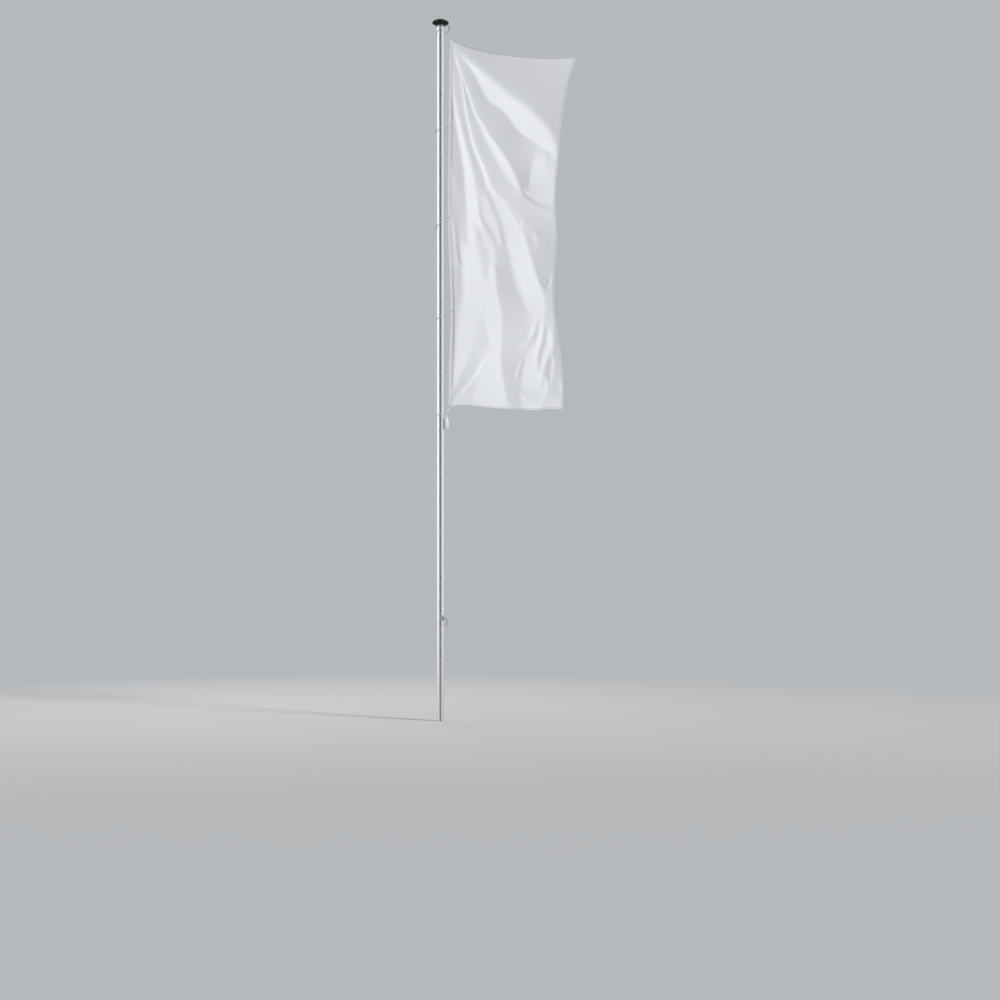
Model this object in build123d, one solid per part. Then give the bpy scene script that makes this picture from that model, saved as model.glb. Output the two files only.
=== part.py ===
from build123d import *
import math
import os

# Flagpole with a turning masthead and a portrait flag. Millimetres, +Z up. The origin is the
# centre of the mast's foot, at ground level. The flag flies towards +X, the groove faces -Y.

# Mast tube
MAST_HEIGHT = 7475.0
TUBE_DIAMETER = 80.0
TUBE_WALL = 3.0
GROOVE_MOUTH = 12.0
GROOVE_BORE = 18.0
GROOVE_DEPTH = 12.0
GROOVE_WALL = 2.5
GROOVE_LIP = 3.0
FOOT_PLUG_HEIGHT = 40.0
FOOT_PLUG_FLOOR = 12.0
FOOT_PLUG_WALL = 4.0

# Fixed socket in the top of the tube
SOCKET_DEPTH = 75.0
SOCKET_FLANGE_OVERHANG = 2.0
SOCKET_FLANGE = 3.0
PLUG_CLEARANCE = 0.2
STEM_DIAMETER = 26.0
STEM_BORE = 18.0
STEM_LENGTH = 90.0
STEM_CLEARANCE = 0.25
WASHER_DIAMETER = 64.0
WASHER_THICKNESS = 2.0

# Turning cap
CAP_DIAMETER = 177.0
CAP_WALL = 3.0
CAP_RIM_HEIGHT = 8.0
CAP_DOME_RISE = 34.0
CAP_RIM_ABOVE_HUB = 25.0
HUB_DIAMETER = 68.0
SKIRT_CLEARANCE = 3.0
SKIRT_WALL = 4.0
SKIRT_DEPTH = 6.0
LUG_DEPTH = 12.0
LUG_WIDTH = 14.0
LUG_COUNT = 4
LUG_START_ANGLE = -37.0
RIB_COUNT = 8
RIB_THICKNESS = 3.0
RING_RIB_DIAMETER = 136.0

# Rope and rollers in the cap
ROPE_DIAMETER = 6.0
SHEAVE_GROOVE_DIAMETER = 22.0
SHEAVE_DIAMETER = 36.0
SHEAVE_WIDTH = 10.0
SHEAVE_AXLE_DIAMETER = 8.0
ROLLER_GROOVE_DIAMETER = 8.0
ROLLER_DIAMETER = 16.0
ROLLER_WIDTH = 10.0
ROLLER_AXLE_DIAMETER = 4.0
OUTLET_REACH = 81.0
CHEEK_GAP = 11.0
CHEEK_THICKNESS = 3.0
AXLE_CLEARANCE = 0.1
SIDE_CLEARANCE = 0.5
ROPE_CLEARANCE = 0.2
ROPE_OUT_LENGTH = 20.0

# Flag, as it hangs: the upper hoist corner below the tube's end and off the tube's side, the
# width of the spread upper edge, the drop of the hoist edge, and how deep the cloth folds
FLAG_BELOW_TOP = 118.0
HOIST_GAP = 68.0
FLAG_SPAN = 1354.0
FLAG_DROP = 3983.0
FLAG_THICKNESS = 2.0
FOLD_DEPTH = 44.0
CLOTH_MARGIN = 60.0
TAPE_WIDTH = 38.0
EYELET_INSET = 12.0
EYELET_BORE = 11.0
EYELET_BARREL_WALL = 1.2
EYELET_FLANGE_DIAMETER = 20.0
EYELET_FLANGE = 1.2

# Fixings between flag and mast
LOOP_CORD = 5.0
LOOP_CLEARANCE = 4.0
RING_RADIUS = 10.0
RING_WIRE = 4.0
HOOK_WIRE = 4.0
HOOK_WIDTH = 18.0
HOOK_SLEEVE_DIAMETER = 6.4
LINK_CLEARANCE = 0.3
LOOP_BALL_DIAMETER = 15.0

# Weight at the lower corner
WEIGHT_WIDTH = 46.0
WEIGHT_DEPTH = 30.0
WEIGHT_LENGTH = 150.0
WEIGHT_NECK = 16.0
WEIGHT_GAP = 24.0
WEIGHT_FORWARD = 22.0

# Rope lock
LOCK_HEIGHT = 1105.0
LOCK_ANGLE = -45.0
LOCK_PLATE_WIDTH = 30.0
LOCK_PLATE_HEIGHT = 62.0
LOCK_PLATE_THICKNESS = 2.5
LOCK_BODY_WIDTH = 26.0
LOCK_BODY_HEIGHT = 30.0
LOCK_BODY_DEPTH = 14.0
LOCK_BARREL_DIAMETER = 15.0
LOCK_BARREL_PROUD = 2.0
KEYWAY_WIDTH = 2.0
KEYWAY_LENGTH = 8.0
LOCK_SCREW_DIAMETER = 6.0
LOCK_SCREW_HEAD = 2.0
TAIL_CORD = 6.0
TAIL_KNOT_DIAMETER = 15.0

TUBE_RADIUS = TUBE_DIAMETER / 2
TUBE_INNER_RADIUS = TUBE_RADIUS - TUBE_WALL
GROOVE_Y = -(TUBE_RADIUS - GROOVE_DEPTH)
WASHER_BASE = MAST_HEIGHT + SOCKET_FLANGE
HUB_BASE = WASHER_BASE + WASHER_THICKNESS
RIM_BASE = HUB_BASE + CAP_RIM_ABOVE_HUB
DOME_BASE = RIM_BASE + CAP_RIM_HEIGHT
CAP_TOP = DOME_BASE + CAP_DOME_RISE
SHEAVE_PITCH_RADIUS = (SHEAVE_GROOVE_DIAMETER + ROPE_DIAMETER) / 2
ROLLER_PITCH_RADIUS = (ROLLER_GROOVE_DIAMETER + ROPE_DIAMETER) / 2
SHEAVE_Z = HUB_BASE + SHEAVE_DIAMETER / 2 + SIDE_CLEARANCE * 3
ROPE_RUN_Z = SHEAVE_Z + SHEAVE_PITCH_RADIUS
ROLLER_X = OUTLET_REACH - ROLLER_PITCH_RADIUS
ROLLER_Z = ROPE_RUN_Z - ROLLER_PITCH_RADIUS
ROPE_OUT_Z = ROLLER_Z - ROPE_OUT_LENGTH
HOIST_X = TUBE_RADIUS + HOIST_GAP
FLAG_TOP = MAST_HEIGHT - FLAG_BELOW_TOP


def plug_outline(radius_clearance):
    """The tube's inside, less the wall round the groove, drawn smaller by a clearance."""
    inside = Circle(TUBE_INNER_RADIUS - radius_clearance)
    groove_wall = Circle(GROOVE_BORE / 2 + GROOVE_WALL + radius_clearance)
    return inside - Pos(0, GROOVE_Y) * groove_wall


def mast_tube():
    """Extruded aluminium tube with a round keyhole groove down its front."""
    profile = Circle(TUBE_RADIUS) - plug_outline(0)
    profile -= Pos(0, GROOVE_Y) * Circle(GROOVE_BORE / 2)
    profile -= Pos(0, -TUBE_RADIUS) * Rectangle(GROOVE_MOUTH, GROOVE_DEPTH * 2)
    lips = [
        v
        for v in profile.vertices()
        if math.hypot(v.X, v.Y) > TUBE_RADIUS - 0.1 and v.Y < 0
    ]
    profile = fillet(lips, GROOVE_LIP)
    return extrude(profile, MAST_HEIGHT)


def foot_plug():
    """Cast plug that closes the foot of the tube, flush with its cut end."""
    body = extrude(plug_outline(PLUG_CLEARANCE), FOOT_PLUG_HEIGHT)
    hollow = extrude(
        plug_outline(PLUG_CLEARANCE + FOOT_PLUG_WALL), FOOT_PLUG_HEIGHT - FOOT_PLUG_FLOOR
    )
    return body - Pos(0, 0, FOOT_PLUG_FLOOR) * hollow


def head_socket():
    """Turned socket in the tube's top, with a flange on the cut edge and a bore for the stem."""
    shank = Pos(0, 0, MAST_HEIGHT - SOCKET_DEPTH) * extrude(
        plug_outline(PLUG_CLEARANCE), SOCKET_DEPTH
    )
    flange_radius = TUBE_RADIUS + SOCKET_FLANGE_OVERHANG
    flange = Pos(0, 0, MAST_HEIGHT) * extrude(Circle(flange_radius), SOCKET_FLANGE)
    bore = Pos(0, 0, MAST_HEIGHT - SOCKET_DEPTH) * extrude(
        Circle(STEM_DIAMETER / 2 + STEM_CLEARANCE), SOCKET_DEPTH + SOCKET_FLANGE
    )
    top_edge = (shank + flange).edges().filter_by(GeomType.CIRCLE).sort_by(Axis.Z)[-1]
    return chamfer(top_edge, SOCKET_FLANGE / 3) - bore


def bearing_washer():
    """Slippery washer between the socket's flange and the cap's hub."""
    ring = Circle(WASHER_DIAMETER / 2) - Circle(STEM_DIAMETER / 2 + STEM_CLEARANCE)
    return Pos(0, 0, WASHER_BASE) * extrude(ring, WASHER_THICKNESS)


def dome_solid(radius, base, crown):
    """A disc with straight sides up to the dome's foot and a low spherical crown."""
    with BuildPart() as dome:
        with BuildSketch(Plane.XZ):
            with BuildLine():
                Polyline((0, crown), (0, base), (radius, base), (radius, DOME_BASE))
                RadiusArc(
                    (radius, DOME_BASE),
                    (0, crown),
                    -(radius**2 + (crown - DOME_BASE) ** 2) / (2 * (crown - DOME_BASE)),
                )
            make_face()
        revolve(axis=Axis.Z)
    return dome.part


def rib_space():
    """The room under the dome that ribs and cheeks may fill: a shallow cone below the rim."""
    skirt_radius = skirt_inner_radius() + SKIRT_WALL
    rim_radius = CAP_DIAMETER / 2 - CAP_WALL / 2
    crown = CAP_TOP - CAP_WALL / 2
    with BuildPart() as space:
        with BuildSketch(Plane.XZ):
            with BuildLine():
                Polyline(
                    (0, crown),
                    (0, HUB_BASE),
                    (skirt_radius, HUB_BASE),
                    (rim_radius, RIM_BASE + CAP_WALL),
                    (rim_radius, DOME_BASE),
                )
                RadiusArc(
                    (rim_radius, DOME_BASE),
                    (0, crown),
                    -(rim_radius**2 + (crown - DOME_BASE) ** 2)
                    / (2 * (crown - DOME_BASE)),
                )
            make_face()
        revolve(axis=Axis.Z)
    return space.part


def skirt_inner_radius():
    """The skirt clears the socket's flange all round."""
    return TUBE_RADIUS + SOCKET_FLANGE_OVERHANG + SKIRT_CLEARANCE


def cap():
    """Moulded mushroom cap: dome, rim, hub, ribs, rope cheeks, and a skirt with four lugs."""
    outer = dome_solid(CAP_DIAMETER / 2, RIM_BASE, CAP_TOP)
    inner = dome_solid(CAP_DIAMETER / 2 - CAP_WALL, RIM_BASE, CAP_TOP - CAP_WALL)
    shell = outer - inner
    full_height = CAP_TOP - HUB_BASE
    hub_radius = HUB_DIAMETER / 2
    skirt_radius = skirt_inner_radius()

    inside = Pos(0, 0, HUB_BASE) * extrude(Circle(hub_radius), full_height)
    web = Pos(0, 0, HUB_BASE) * extrude(Circle(skirt_radius + SKIRT_WALL), CAP_WALL)
    inside += web
    rib_length = CAP_DIAMETER / 2 - hub_radius
    rib = Pos(hub_radius + rib_length / 2 - 1, 0, HUB_BASE + full_height / 2) * Box(
        rib_length + 2, RIB_THICKNESS, full_height
    )
    rib_step = 360 / RIB_COUNT
    for number in range(RIB_COUNT):
        inside += Rot(0, 0, rib_step * (number + 0.5)) * rib
    ring_rib = Circle(RING_RIB_DIAMETER / 2) - Circle(RING_RIB_DIAMETER / 2 - RIB_THICKNESS)
    inside += Pos(0, 0, HUB_BASE) * extrude(ring_rib, full_height)
    cheek = Box(rib_length + 2, CHEEK_THICKNESS, full_height)
    cheek_y = (CHEEK_GAP + CHEEK_THICKNESS) / 2
    for side in (-1, 1):
        place = Pos(
            hub_radius + rib_length / 2 - 1, side * cheek_y, HUB_BASE + full_height / 2
        )
        inside += place * cheek
    inside &= rib_space()

    skirt_ring = Circle(skirt_radius + SKIRT_WALL) - Circle(skirt_radius)
    skirt = Pos(0, 0, HUB_BASE - SKIRT_DEPTH) * extrude(skirt_ring, SKIRT_DEPTH)
    lug_ring = Pos(0, 0, HUB_BASE - SKIRT_DEPTH - LUG_DEPTH) * extrude(
        skirt_ring, LUG_DEPTH
    )
    lug_block = Pos(skirt_radius + SKIRT_WALL / 2, 0, HUB_BASE - SKIRT_DEPTH) * Box(
        SKIRT_WALL * 3, LUG_WIDTH, LUG_DEPTH * 2
    )
    body = shell + inside + skirt
    for number in range(LUG_COUNT):
        turn = LUG_START_ANGLE + 360 / LUG_COUNT * number
        body += lug_ring & (Rot(0, 0, turn) * lug_block)

    stem_seat = Pos(0, 0, HUB_BASE) * extrude(Circle(STEM_DIAMETER / 2), full_height / 2)
    slot_start = -SHEAVE_DIAMETER / 2
    slot_end = CAP_DIAMETER / 2 - CAP_WALL
    slot_top = ROPE_RUN_Z + ROPE_DIAMETER / 2 + SIDE_CLEARANCE * 3
    slot = Pos(
        (slot_start + slot_end) / 2, 0, (HUB_BASE + slot_top) / 2
    ) * Box(slot_end - slot_start, CHEEK_GAP, slot_top - HUB_BASE)
    return body - stem_seat - slot - axle_pin("sheave") - axle_pin("roller")


def stem():
    """Hollow spindle pressed into the hub, that turns in the socket and lets the rope up."""
    ring = Circle(STEM_DIAMETER / 2) - Circle(STEM_BORE / 2)
    return Pos(0, 0, HUB_BASE - STEM_LENGTH) * extrude(ring, STEM_LENGTH)


def axle_pin(which):
    """The pin across the cheeks that carries the sheave or the outlet roller."""
    if which == "sheave":
        x, z, diameter = SHEAVE_PITCH_RADIUS, SHEAVE_Z, SHEAVE_AXLE_DIAMETER
        length = HUB_DIAMETER * 0.7
    else:
        x, z, diameter = ROLLER_X, ROLLER_Z, ROLLER_AXLE_DIAMETER
        length = CHEEK_GAP + 2 * CHEEK_THICKNESS
    return Pos(x, 0, z) * Rot(90, 0, 0) * Cylinder(diameter / 2, length)


def grooved_wheel(x, z, diameter, groove_diameter, width, axle_diameter):
    """A wheel on a Y axis with a round-bottomed rope groove and a bore for its pin."""
    wheel = Cylinder(diameter / 2, width)
    pitch_radius = (groove_diameter + ROPE_DIAMETER) / 2
    groove = Torus(pitch_radius, ROPE_DIAMETER / 2 + ROPE_CLEARANCE)
    groove_width = ROPE_DIAMETER + 2 * ROPE_CLEARANCE
    flare = Cylinder(diameter, groove_width) - Cylinder(pitch_radius, groove_width)
    bore = Cylinder(axle_diameter / 2 + AXLE_CLEARANCE, width)
    return Pos(x, 0, z) * Rot(90, 0, 0) * (wheel - groove - flare - bore)


def sheave():
    """Main sheave, over which the rope turns from the stem towards the rim."""
    return grooved_wheel(
        SHEAVE_PITCH_RADIUS,
        SHEAVE_Z,
        SHEAVE_DIAMETER,
        SHEAVE_GROOVE_DIAMETER,
        SHEAVE_WIDTH,
        SHEAVE_AXLE_DIAMETER,
    )


def outlet_roller():
    """Small roller at the rim, over which the rope drops to the flag."""
    return grooved_wheel(
        ROLLER_X,
        ROLLER_Z,
        ROLLER_DIAMETER,
        ROLLER_GROOVE_DIAMETER,
        ROLLER_WIDTH,
        ROLLER_AXLE_DIAMETER,
    )


def tube_along(path, diameter):
    """A round cord along a path."""
    section = Plane(origin=path @ 0, z_dir=path % 0) * Circle(diameter / 2)
    return sweep(section, path=path)


def head_rope():
    """The rope inside the masthead: up the stem, over the sheave, along and over the roller."""
    path = FilletPolyline(
        (0, 0, HUB_BASE - STEM_LENGTH),
        (0, 0, ROPE_RUN_Z),
        (OUTLET_REACH, 0, ROPE_RUN_Z),
        (OUTLET_REACH, 0, ROPE_OUT_Z),
        radius=[SHEAVE_PITCH_RADIUS, ROLLER_PITCH_RADIUS],
    )
    return tube_along(path, ROPE_DIAMETER)


def flag_point(across, down):
    """A point of the hanging flag: shares of its span from the hoist, and of its drop."""
    return (HOIST_X + across * FLAG_SPAN, FLAG_TOP - down * FLAG_DROP)


# The flag's four edges as they hang, in shares of its span and drop. The hoist edge runs from
# its lower end up, and the eyelets are set in from it.
HOIST_EDGE = [
    flag_point(-0.0103, 1.0),
    flag_point(-0.0126, 0.8956),
    flag_point(-0.0015, 0.7424),
    flag_point(-0.0162, 0.5415),
    flag_point(-0.0185, 0.3658),
    flag_point(-0.0133, 0.1901),
    flag_point(0.0, 0.0),
]
TOP_EDGE = [
    flag_point(0.0, 0.0),
    flag_point(0.0886, 0.0161),
    flag_point(0.3117, 0.0407),
    flag_point(0.6906, 0.0567),
    flag_point(1.0, 0.056),
]
FLY_EDGE = [
    flag_point(1.0, 0.056),
    flag_point(0.9247, 0.1356),
    flag_point(0.8693, 0.2606),
    flag_point(0.8294, 0.4499),
    flag_point(0.8405, 0.577),
    flag_point(0.8198, 0.7093),
    flag_point(0.8811, 0.8745),
    flag_point(0.89, 1.0068),
]
BOTTOM_EDGE = [
    flag_point(0.89, 1.0068),
    flag_point(0.6684, 1.0078),
    flag_point(0.3634, 1.003),
    flag_point(-0.0103, 1.0),
]


def hoist_x(z):
    """How far the hoist edge stands from the mast's axis at a height."""
    for (x0, z0), (x1, z1) in zip(HOIST_EDGE, HOIST_EDGE[1:]):
        if z0 <= z <= z1:
            share = (z - z0) / (z1 - z0)
            return x0 + (x1 - x0) * share
    return HOIST_EDGE[-1][0]


# Folds across the flag, in shares of its span and of the fold depth, as points of the middle
# of the cloth seen from above. The webbing lies flat, and the folds start behind it.
FOLDS = [
    (0.0, 0.0),
    (0.06, 0.45),
    (0.15, -0.55),
    (0.24, 0.75),
    (0.34, -0.8),
    (0.46, 1.0),
    (0.58, -1.0),
    (0.70, 1.0),
    (0.81, -0.6),
    (0.97, 0.3),
]


def flag_sheet():
    """The whole flag as one thin wavy sheet, cut to its outline."""
    half = FLAG_THICKNESS / 2
    flat_start = HOIST_X - TAPE_WIDTH
    fold_start = HOIST_X + TAPE_WIDTH * 1.2
    folds = [(fold_start + x * FLAG_SPAN, y * FOLD_DEPTH) for x, y in FOLDS]
    front = [(x, y - half) for x, y in folds]
    back = [(x, y + half) for x, y in folds]
    top = FLAG_TOP + CLOTH_MARGIN
    bottom = FLAG_TOP - FLAG_DROP - CLOTH_MARGIN
    with BuildPart() as waves:
        with BuildSketch(Plane.XY.offset(bottom)):
            with BuildLine():
                Line((flat_start, -half), front[0])
                Spline(*front)
                Line(front[-1], back[-1])
                Spline(*back)
                Line(back[0], (flat_start, half))
                Line((flat_start, half), (flat_start, -half))
            make_face()
        extrude(amount=top - bottom)
    with BuildPart() as outline:
        with BuildSketch(Plane.XZ):
            with BuildLine():
                Spline(*HOIST_EDGE)
                Spline(*TOP_EDGE)
                Spline(*FLY_EDGE)
                Spline(*BOTTOM_EDGE)
            make_face()
        extrude(amount=FOLD_DEPTH * 2, both=True)
    return waves.part & outline.part


def tape_region():
    """The strip of the flag along the hoist edge that the webbing covers."""
    inner = [(x + TAPE_WIDTH, z) for x, z in reversed(HOIST_EDGE)]
    outer = [(x - TAPE_WIDTH, z) for x, z in HOIST_EDGE]
    with BuildPart() as strip:
        with BuildSketch(Plane.XZ):
            with BuildLine():
                Spline(*outer)
                Polyline(
                    outer[-1],
                    (outer[-1][0], outer[-1][1] + CLOTH_MARGIN),
                    (inner[0][0], inner[0][1] + CLOTH_MARGIN),
                    inner[0],
                )
                Spline(*inner)
                Polyline(
                    inner[-1],
                    (inner[-1][0], inner[-1][1] - CLOTH_MARGIN),
                    (outer[0][0], outer[0][1] - CLOTH_MARGIN),
                    outer[0],
                )
            make_face()
        extrude(amount=TAPE_WIDTH, both=True)
    return strip.part


class Fixing:
    """One fixing of the flag: eyelet, snap hook, ring, and a cord loop round the mast."""

    def __init__(self, name, drop_share, chain_angle, chain_length, loop_slopes, has_ball):
        self.name = name
        self.has_ball = has_ball
        eyelet_z = FLAG_TOP - drop_share * FLAG_DROP
        self.eyelet = Vector(hoist_x(eyelet_z) + EYELET_INSET, 0, eyelet_z)
        angle = math.radians(chain_angle)
        self.chain = Vector(-math.cos(angle), 0, -math.sin(angle))
        self.ring = self.eyelet + self.chain * chain_length
        self.chain_length = chain_length
        self.loop_slopes = loop_slopes

    def eyelet_solid(self):
        """Rolled eyelet through the webbing, with a flange on each face."""
        bore = EYELET_BORE / 2
        barrel = Cylinder(bore + EYELET_BARREL_WALL, FLAG_THICKNESS + 2 * EYELET_FLANGE)
        flange = Cylinder(EYELET_FLANGE_DIAMETER / 2, EYELET_FLANGE)
        offset = (FLAG_THICKNESS + EYELET_FLANGE) / 2
        body = barrel + Pos(0, 0, offset) * flange + Pos(0, 0, -offset) * flange
        body -= Cylinder(bore, FLAG_THICKNESS + 4 * EYELET_FLANGE)
        return Pos(*self.eyelet) * Rot(90, 0, 0) * body

    def eyelet_hole(self):
        """The hole that the barrel fills in the webbing."""
        hole = Cylinder(EYELET_BORE / 2 + EYELET_BARREL_WALL, TAPE_WIDTH)
        return Pos(*self.eyelet) * Rot(90, 0, 0) * hole

    def ring_solid(self):
        """Welded ring that joins the hook to the loop."""
        return Pos(*self.ring) * Rot(90, 0, 0) * Torus(RING_RADIUS, RING_WIRE / 2)

    def hook_solid(self):
        """Wire snap hook: a long link with a sleeve gate on one side."""
        start = EYELET_BORE / 2 - HOOK_WIRE / 2 - 2 * LINK_CLEARANCE
        inside_ring = RING_RADIUS - RING_WIRE / 2 - HOOK_WIRE / 2 - LINK_CLEARANCE
        end = self.chain_length - inside_ring
        half = (HOOK_WIDTH - HOOK_WIRE) / 2
        plane = Plane(
            origin=self.eyelet, x_dir=self.chain, z_dir=self.chain.cross(Vector(0, 1, 0))
        )
        corners = [(start, -half), (end, -half), (end, half), (start, half)]
        path = FilletPolyline(
            *[plane.from_local_coords(Vector(u, v, 0)) for u, v in corners],
            radius=half * 0.95,
            close=True,
        )
        link = tube_along(path, HOOK_WIRE)
        sleeve_length = (end - start) * 0.35
        sleeve = Pos((start + end) / 2, half, 0) * Rot(0, 90, 0) * Cylinder(
            HOOK_SLEEVE_DIAMETER / 2, sleeve_length
        )
        return link + plane * sleeve

    def loop_solid(self):
        """Cord loop round the mast in a sloping plane, drawn together through the ring."""
        slope_x, slope_y = self.loop_slopes
        radius = TUBE_RADIUS + LOOP_CLEARANCE + LOOP_CORD / 2
        inside_ring = RING_RADIUS - RING_WIRE / 2 - LOOP_CORD / 2 - LINK_CLEARANCE
        inside_ring -= abs(slope_y) * RING_WIRE / 4
        lean = math.atan(slope_x)
        tip = self.ring + Vector(-math.cos(lean), 0, -math.sin(lean)) * inside_ring

        def on_plane(x, y):
            return (x, y, tip.Z + (x - tip.X) * slope_x + y * slope_y)

        tip_half = LOOP_CORD * 1.4
        corners = [on_plane(tip.X, -tip_half), on_plane(tip.X, tip_half)]
        step = math.radians(60)
        corner = radius / math.cos(step / 2)
        for number in range(1, 6):
            turn = step * number
            corners.append(on_plane(corner * math.cos(turn), corner * math.sin(turn)))
        path = FilletPolyline(*corners, radius=loop_radii(corners), close=True)
        loop = tube_along(path, LOOP_CORD)
        if self.has_ball:
            ball_radius = LOOP_BALL_DIAMETER / 2
            ball_x = -(TUBE_RADIUS + LOOP_CLEARANCE + ball_radius)
            loop += Pos(*on_plane(ball_x, 0)) * Sphere(ball_radius)
        return loop


def loop_radii(corners):
    """For each corner of a closed route, the largest arc that its two runs leave room for."""
    radii = []
    count = len(corners)
    for number in range(count):
        before = Vector(*corners[number - 1])
        here = Vector(*corners[number])
        after = Vector(*corners[(number + 1) % count])
        turn = math.radians((here - before).get_angle(after - here))
        shorter = min((here - before).length, (after - here).length)
        radii.append(0.48 * shorter / math.tan(turn / 2))
    return radii


# Each fixing's eyelet as a share of the flag's drop, the slope and length of its chain, the
# slopes of its loop, and whether a ball closes the loop
FIXINGS = [
    Fixing("top", 0.0055, -74.0, 94.0, (0.35, -0.8), False),
    Fixing("upper", 0.2368, 30.0, 42.0, (0.55, -0.1), True),
    Fixing("middle", 0.4888, 34.0, 38.0, (0.7, -0.1), True),
    Fixing("lower", 0.7409, 30.0, 44.0, (0.55, -0.1), True),
    Fixing("bottom", 0.996, 60.0, 92.0, (0.3, -0.1), False),
]


def flag_weight():
    """Sewn, filled weight that keeps the lower corner down, with the strap it hangs by."""
    ring = FIXINGS[-1].ring
    x, y = TUBE_RADIUS + WEIGHT_GAP, -WEIGHT_FORWARD
    top = ring.Z - RING_RADIUS - RING_WIRE - WEIGHT_NECK
    drops = [0.0, 0.13, 0.37, 0.87, 1.0]
    shares = [0.35, 0.85, 1.0, 1.0, 0.9]
    sections = [
        Pos(x, y, top - drop * WEIGHT_LENGTH)
        * Ellipse(WEIGHT_WIDTH / 2 * share, WEIGHT_DEPTH / 2 * share)
        for drop, share in zip(drops, shares)
    ]
    body = loft(sections)
    wire_bottom = Vector(ring.X, 0, ring.Z - RING_RADIUS)
    neck = Vector(x, y, top)
    down = (neck - wire_bottom).normalized()
    frame = Plane(origin=wire_bottom, x_dir=down, z_dir=down.cross(Vector(0, 1, 0)))
    above_wire = (RING_WIRE + LOOP_CORD) / 2 + LINK_CLEARANCE
    below_wire = (neck - wire_bottom).length + LOOP_CORD
    half = LOOP_CORD * 1.4
    corners = [(-above_wire, -half), (below_wire, -half), (below_wire, half), (-above_wire, half)]
    eye = FilletPolyline(
        *[frame.from_local_coords(Vector(u, v, 0)) for u, v in corners],
        radius=half * 0.9,
        close=True,
    )
    return body + tube_along(eye, LOOP_CORD)


def halyard_end():
    """The rope from the outlet roller down to the top ring, with its spliced eye."""
    ring = FIXINGS[0].ring
    inside_ring = RING_RADIUS - RING_WIRE / 2 - ROPE_DIAMETER / 2 - LINK_CLEARANCE
    eye_bottom = ring.Z + inside_ring
    half = ROPE_DIAMETER * 1.1
    eye_top = eye_bottom + 2.6 * half
    eye = FilletPolyline(
        (ring.X, -half, eye_bottom),
        (ring.X, half, eye_bottom),
        (ring.X, half, eye_top),
        (ring.X, -half, eye_top),
        radius=half * 0.9,
        close=True,
    )
    lead = tube_along(Line((ring.X, 0, eye_top), (OUTLET_REACH, 0, ROPE_OUT_Z)), ROPE_DIAMETER)
    outlet = Plane.XY.offset(ROPE_OUT_Z)
    return split(tube_along(eye, ROPE_DIAMETER) + lead, bisect_by=outlet, keep=Keep.BOTTOM)


def lock_frame():
    """A plane on the tube's surface at the lock: x runs round the tube, y up, z outwards."""
    angle = math.radians(LOCK_ANGLE)
    outward = Vector(math.cos(angle), math.sin(angle), 0)
    return Plane(
        origin=outward * TUBE_RADIUS + Vector(0, 0, LOCK_HEIGHT),
        x_dir=Vector(-outward.Y, outward.X, 0),
        z_dir=outward,
    )


def lock_plate():
    """Saddle plate bent to the tube, behind the rope lock."""
    reach = TUBE_RADIUS + LOCK_PLATE_THICKNESS
    ring = Circle(reach) - Circle(TUBE_RADIUS)
    shell = Pos(0, 0, LOCK_HEIGHT - LOCK_PLATE_HEIGHT / 2) * extrude(ring, LOCK_PLATE_HEIGHT)
    block = extrude(
        RectangleRounded(LOCK_PLATE_WIDTH, LOCK_PLATE_HEIGHT, LOCK_PLATE_WIDTH / 4), reach
    )
    return shell & (lock_frame() * Pos(0, 0, -reach / 2) * block)


def lock_body():
    """Cast housing of the rope lock, hollowed behind to sit on the plate."""
    outline = RectangleRounded(LOCK_BODY_WIDTH, LOCK_BODY_HEIGHT, LOCK_BODY_WIDTH / 3)
    block = extrude(outline, LOCK_PLATE_THICKNESS + LOCK_BODY_DEPTH)
    front = block.faces().sort_by(Axis.Z)[-1]
    block = fillet(front.edges(), LOCK_BODY_DEPTH / 5)
    block -= Pos(0, 0, LOCK_PLATE_THICKNESS + LOCK_BODY_DEPTH - LOCK_BARREL_PROUD) * extrude(
        Circle(LOCK_BARREL_DIAMETER / 2), LOCK_BARREL_PROUD
    )
    seat = Pos(0, 0, LOCK_HEIGHT - LOCK_BODY_HEIGHT) * extrude(
        Circle(TUBE_RADIUS + LOCK_PLATE_THICKNESS), LOCK_BODY_HEIGHT * 2
    )
    deep = lock_frame() * Pos(0, 0, -LOCK_BODY_DEPTH / 2) * extrude(outline, LOCK_BODY_DEPTH)
    return (lock_frame() * block + deep) - seat


def lock_barrel():
    """Key barrel in the face of the lock."""
    seat = LOCK_PLATE_THICKNESS + LOCK_BODY_DEPTH - LOCK_BARREL_PROUD
    barrel = extrude(Circle(LOCK_BARREL_DIAMETER / 2), LOCK_BARREL_PROUD * 2)
    keyway = Pos(0, 0, LOCK_BARREL_PROUD) * Box(KEYWAY_WIDTH, KEYWAY_LENGTH, LOCK_BARREL_PROUD * 2)
    return lock_frame() * Pos(0, 0, seat) * (barrel - keyway)


def lock_screws():
    """Two round-headed screws that hold the plate, above and below the housing."""
    offset = (LOCK_PLATE_HEIGHT / 2 + LOCK_BODY_HEIGHT / 2) / 2
    head = extrude(Circle(LOCK_SCREW_DIAMETER / 2), LOCK_SCREW_HEAD)
    screws = [
        lock_frame() * Pos(0, side * offset, LOCK_PLATE_THICKNESS) * head
        for side in (-1, 1)
    ]
    return Compound(children=screws)


# The rope's tail leaves the side of the lock, goes over and hangs down. The hanging points
# are given from the mast's axis and from the lock's height.
TAIL_EXIT_RISE = 4.0
TAIL_EXIT_DEPTH = 8.0
TAIL_FIRST_RUN = 16.0
TAIL_HANGING = [
    (66.0, -9.0, -6.0),
    (71.5, -9.0, -28.0),
    (68.0, -11.0, -53.0),
    (61.5, -14.0, -78.0),
]


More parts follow.
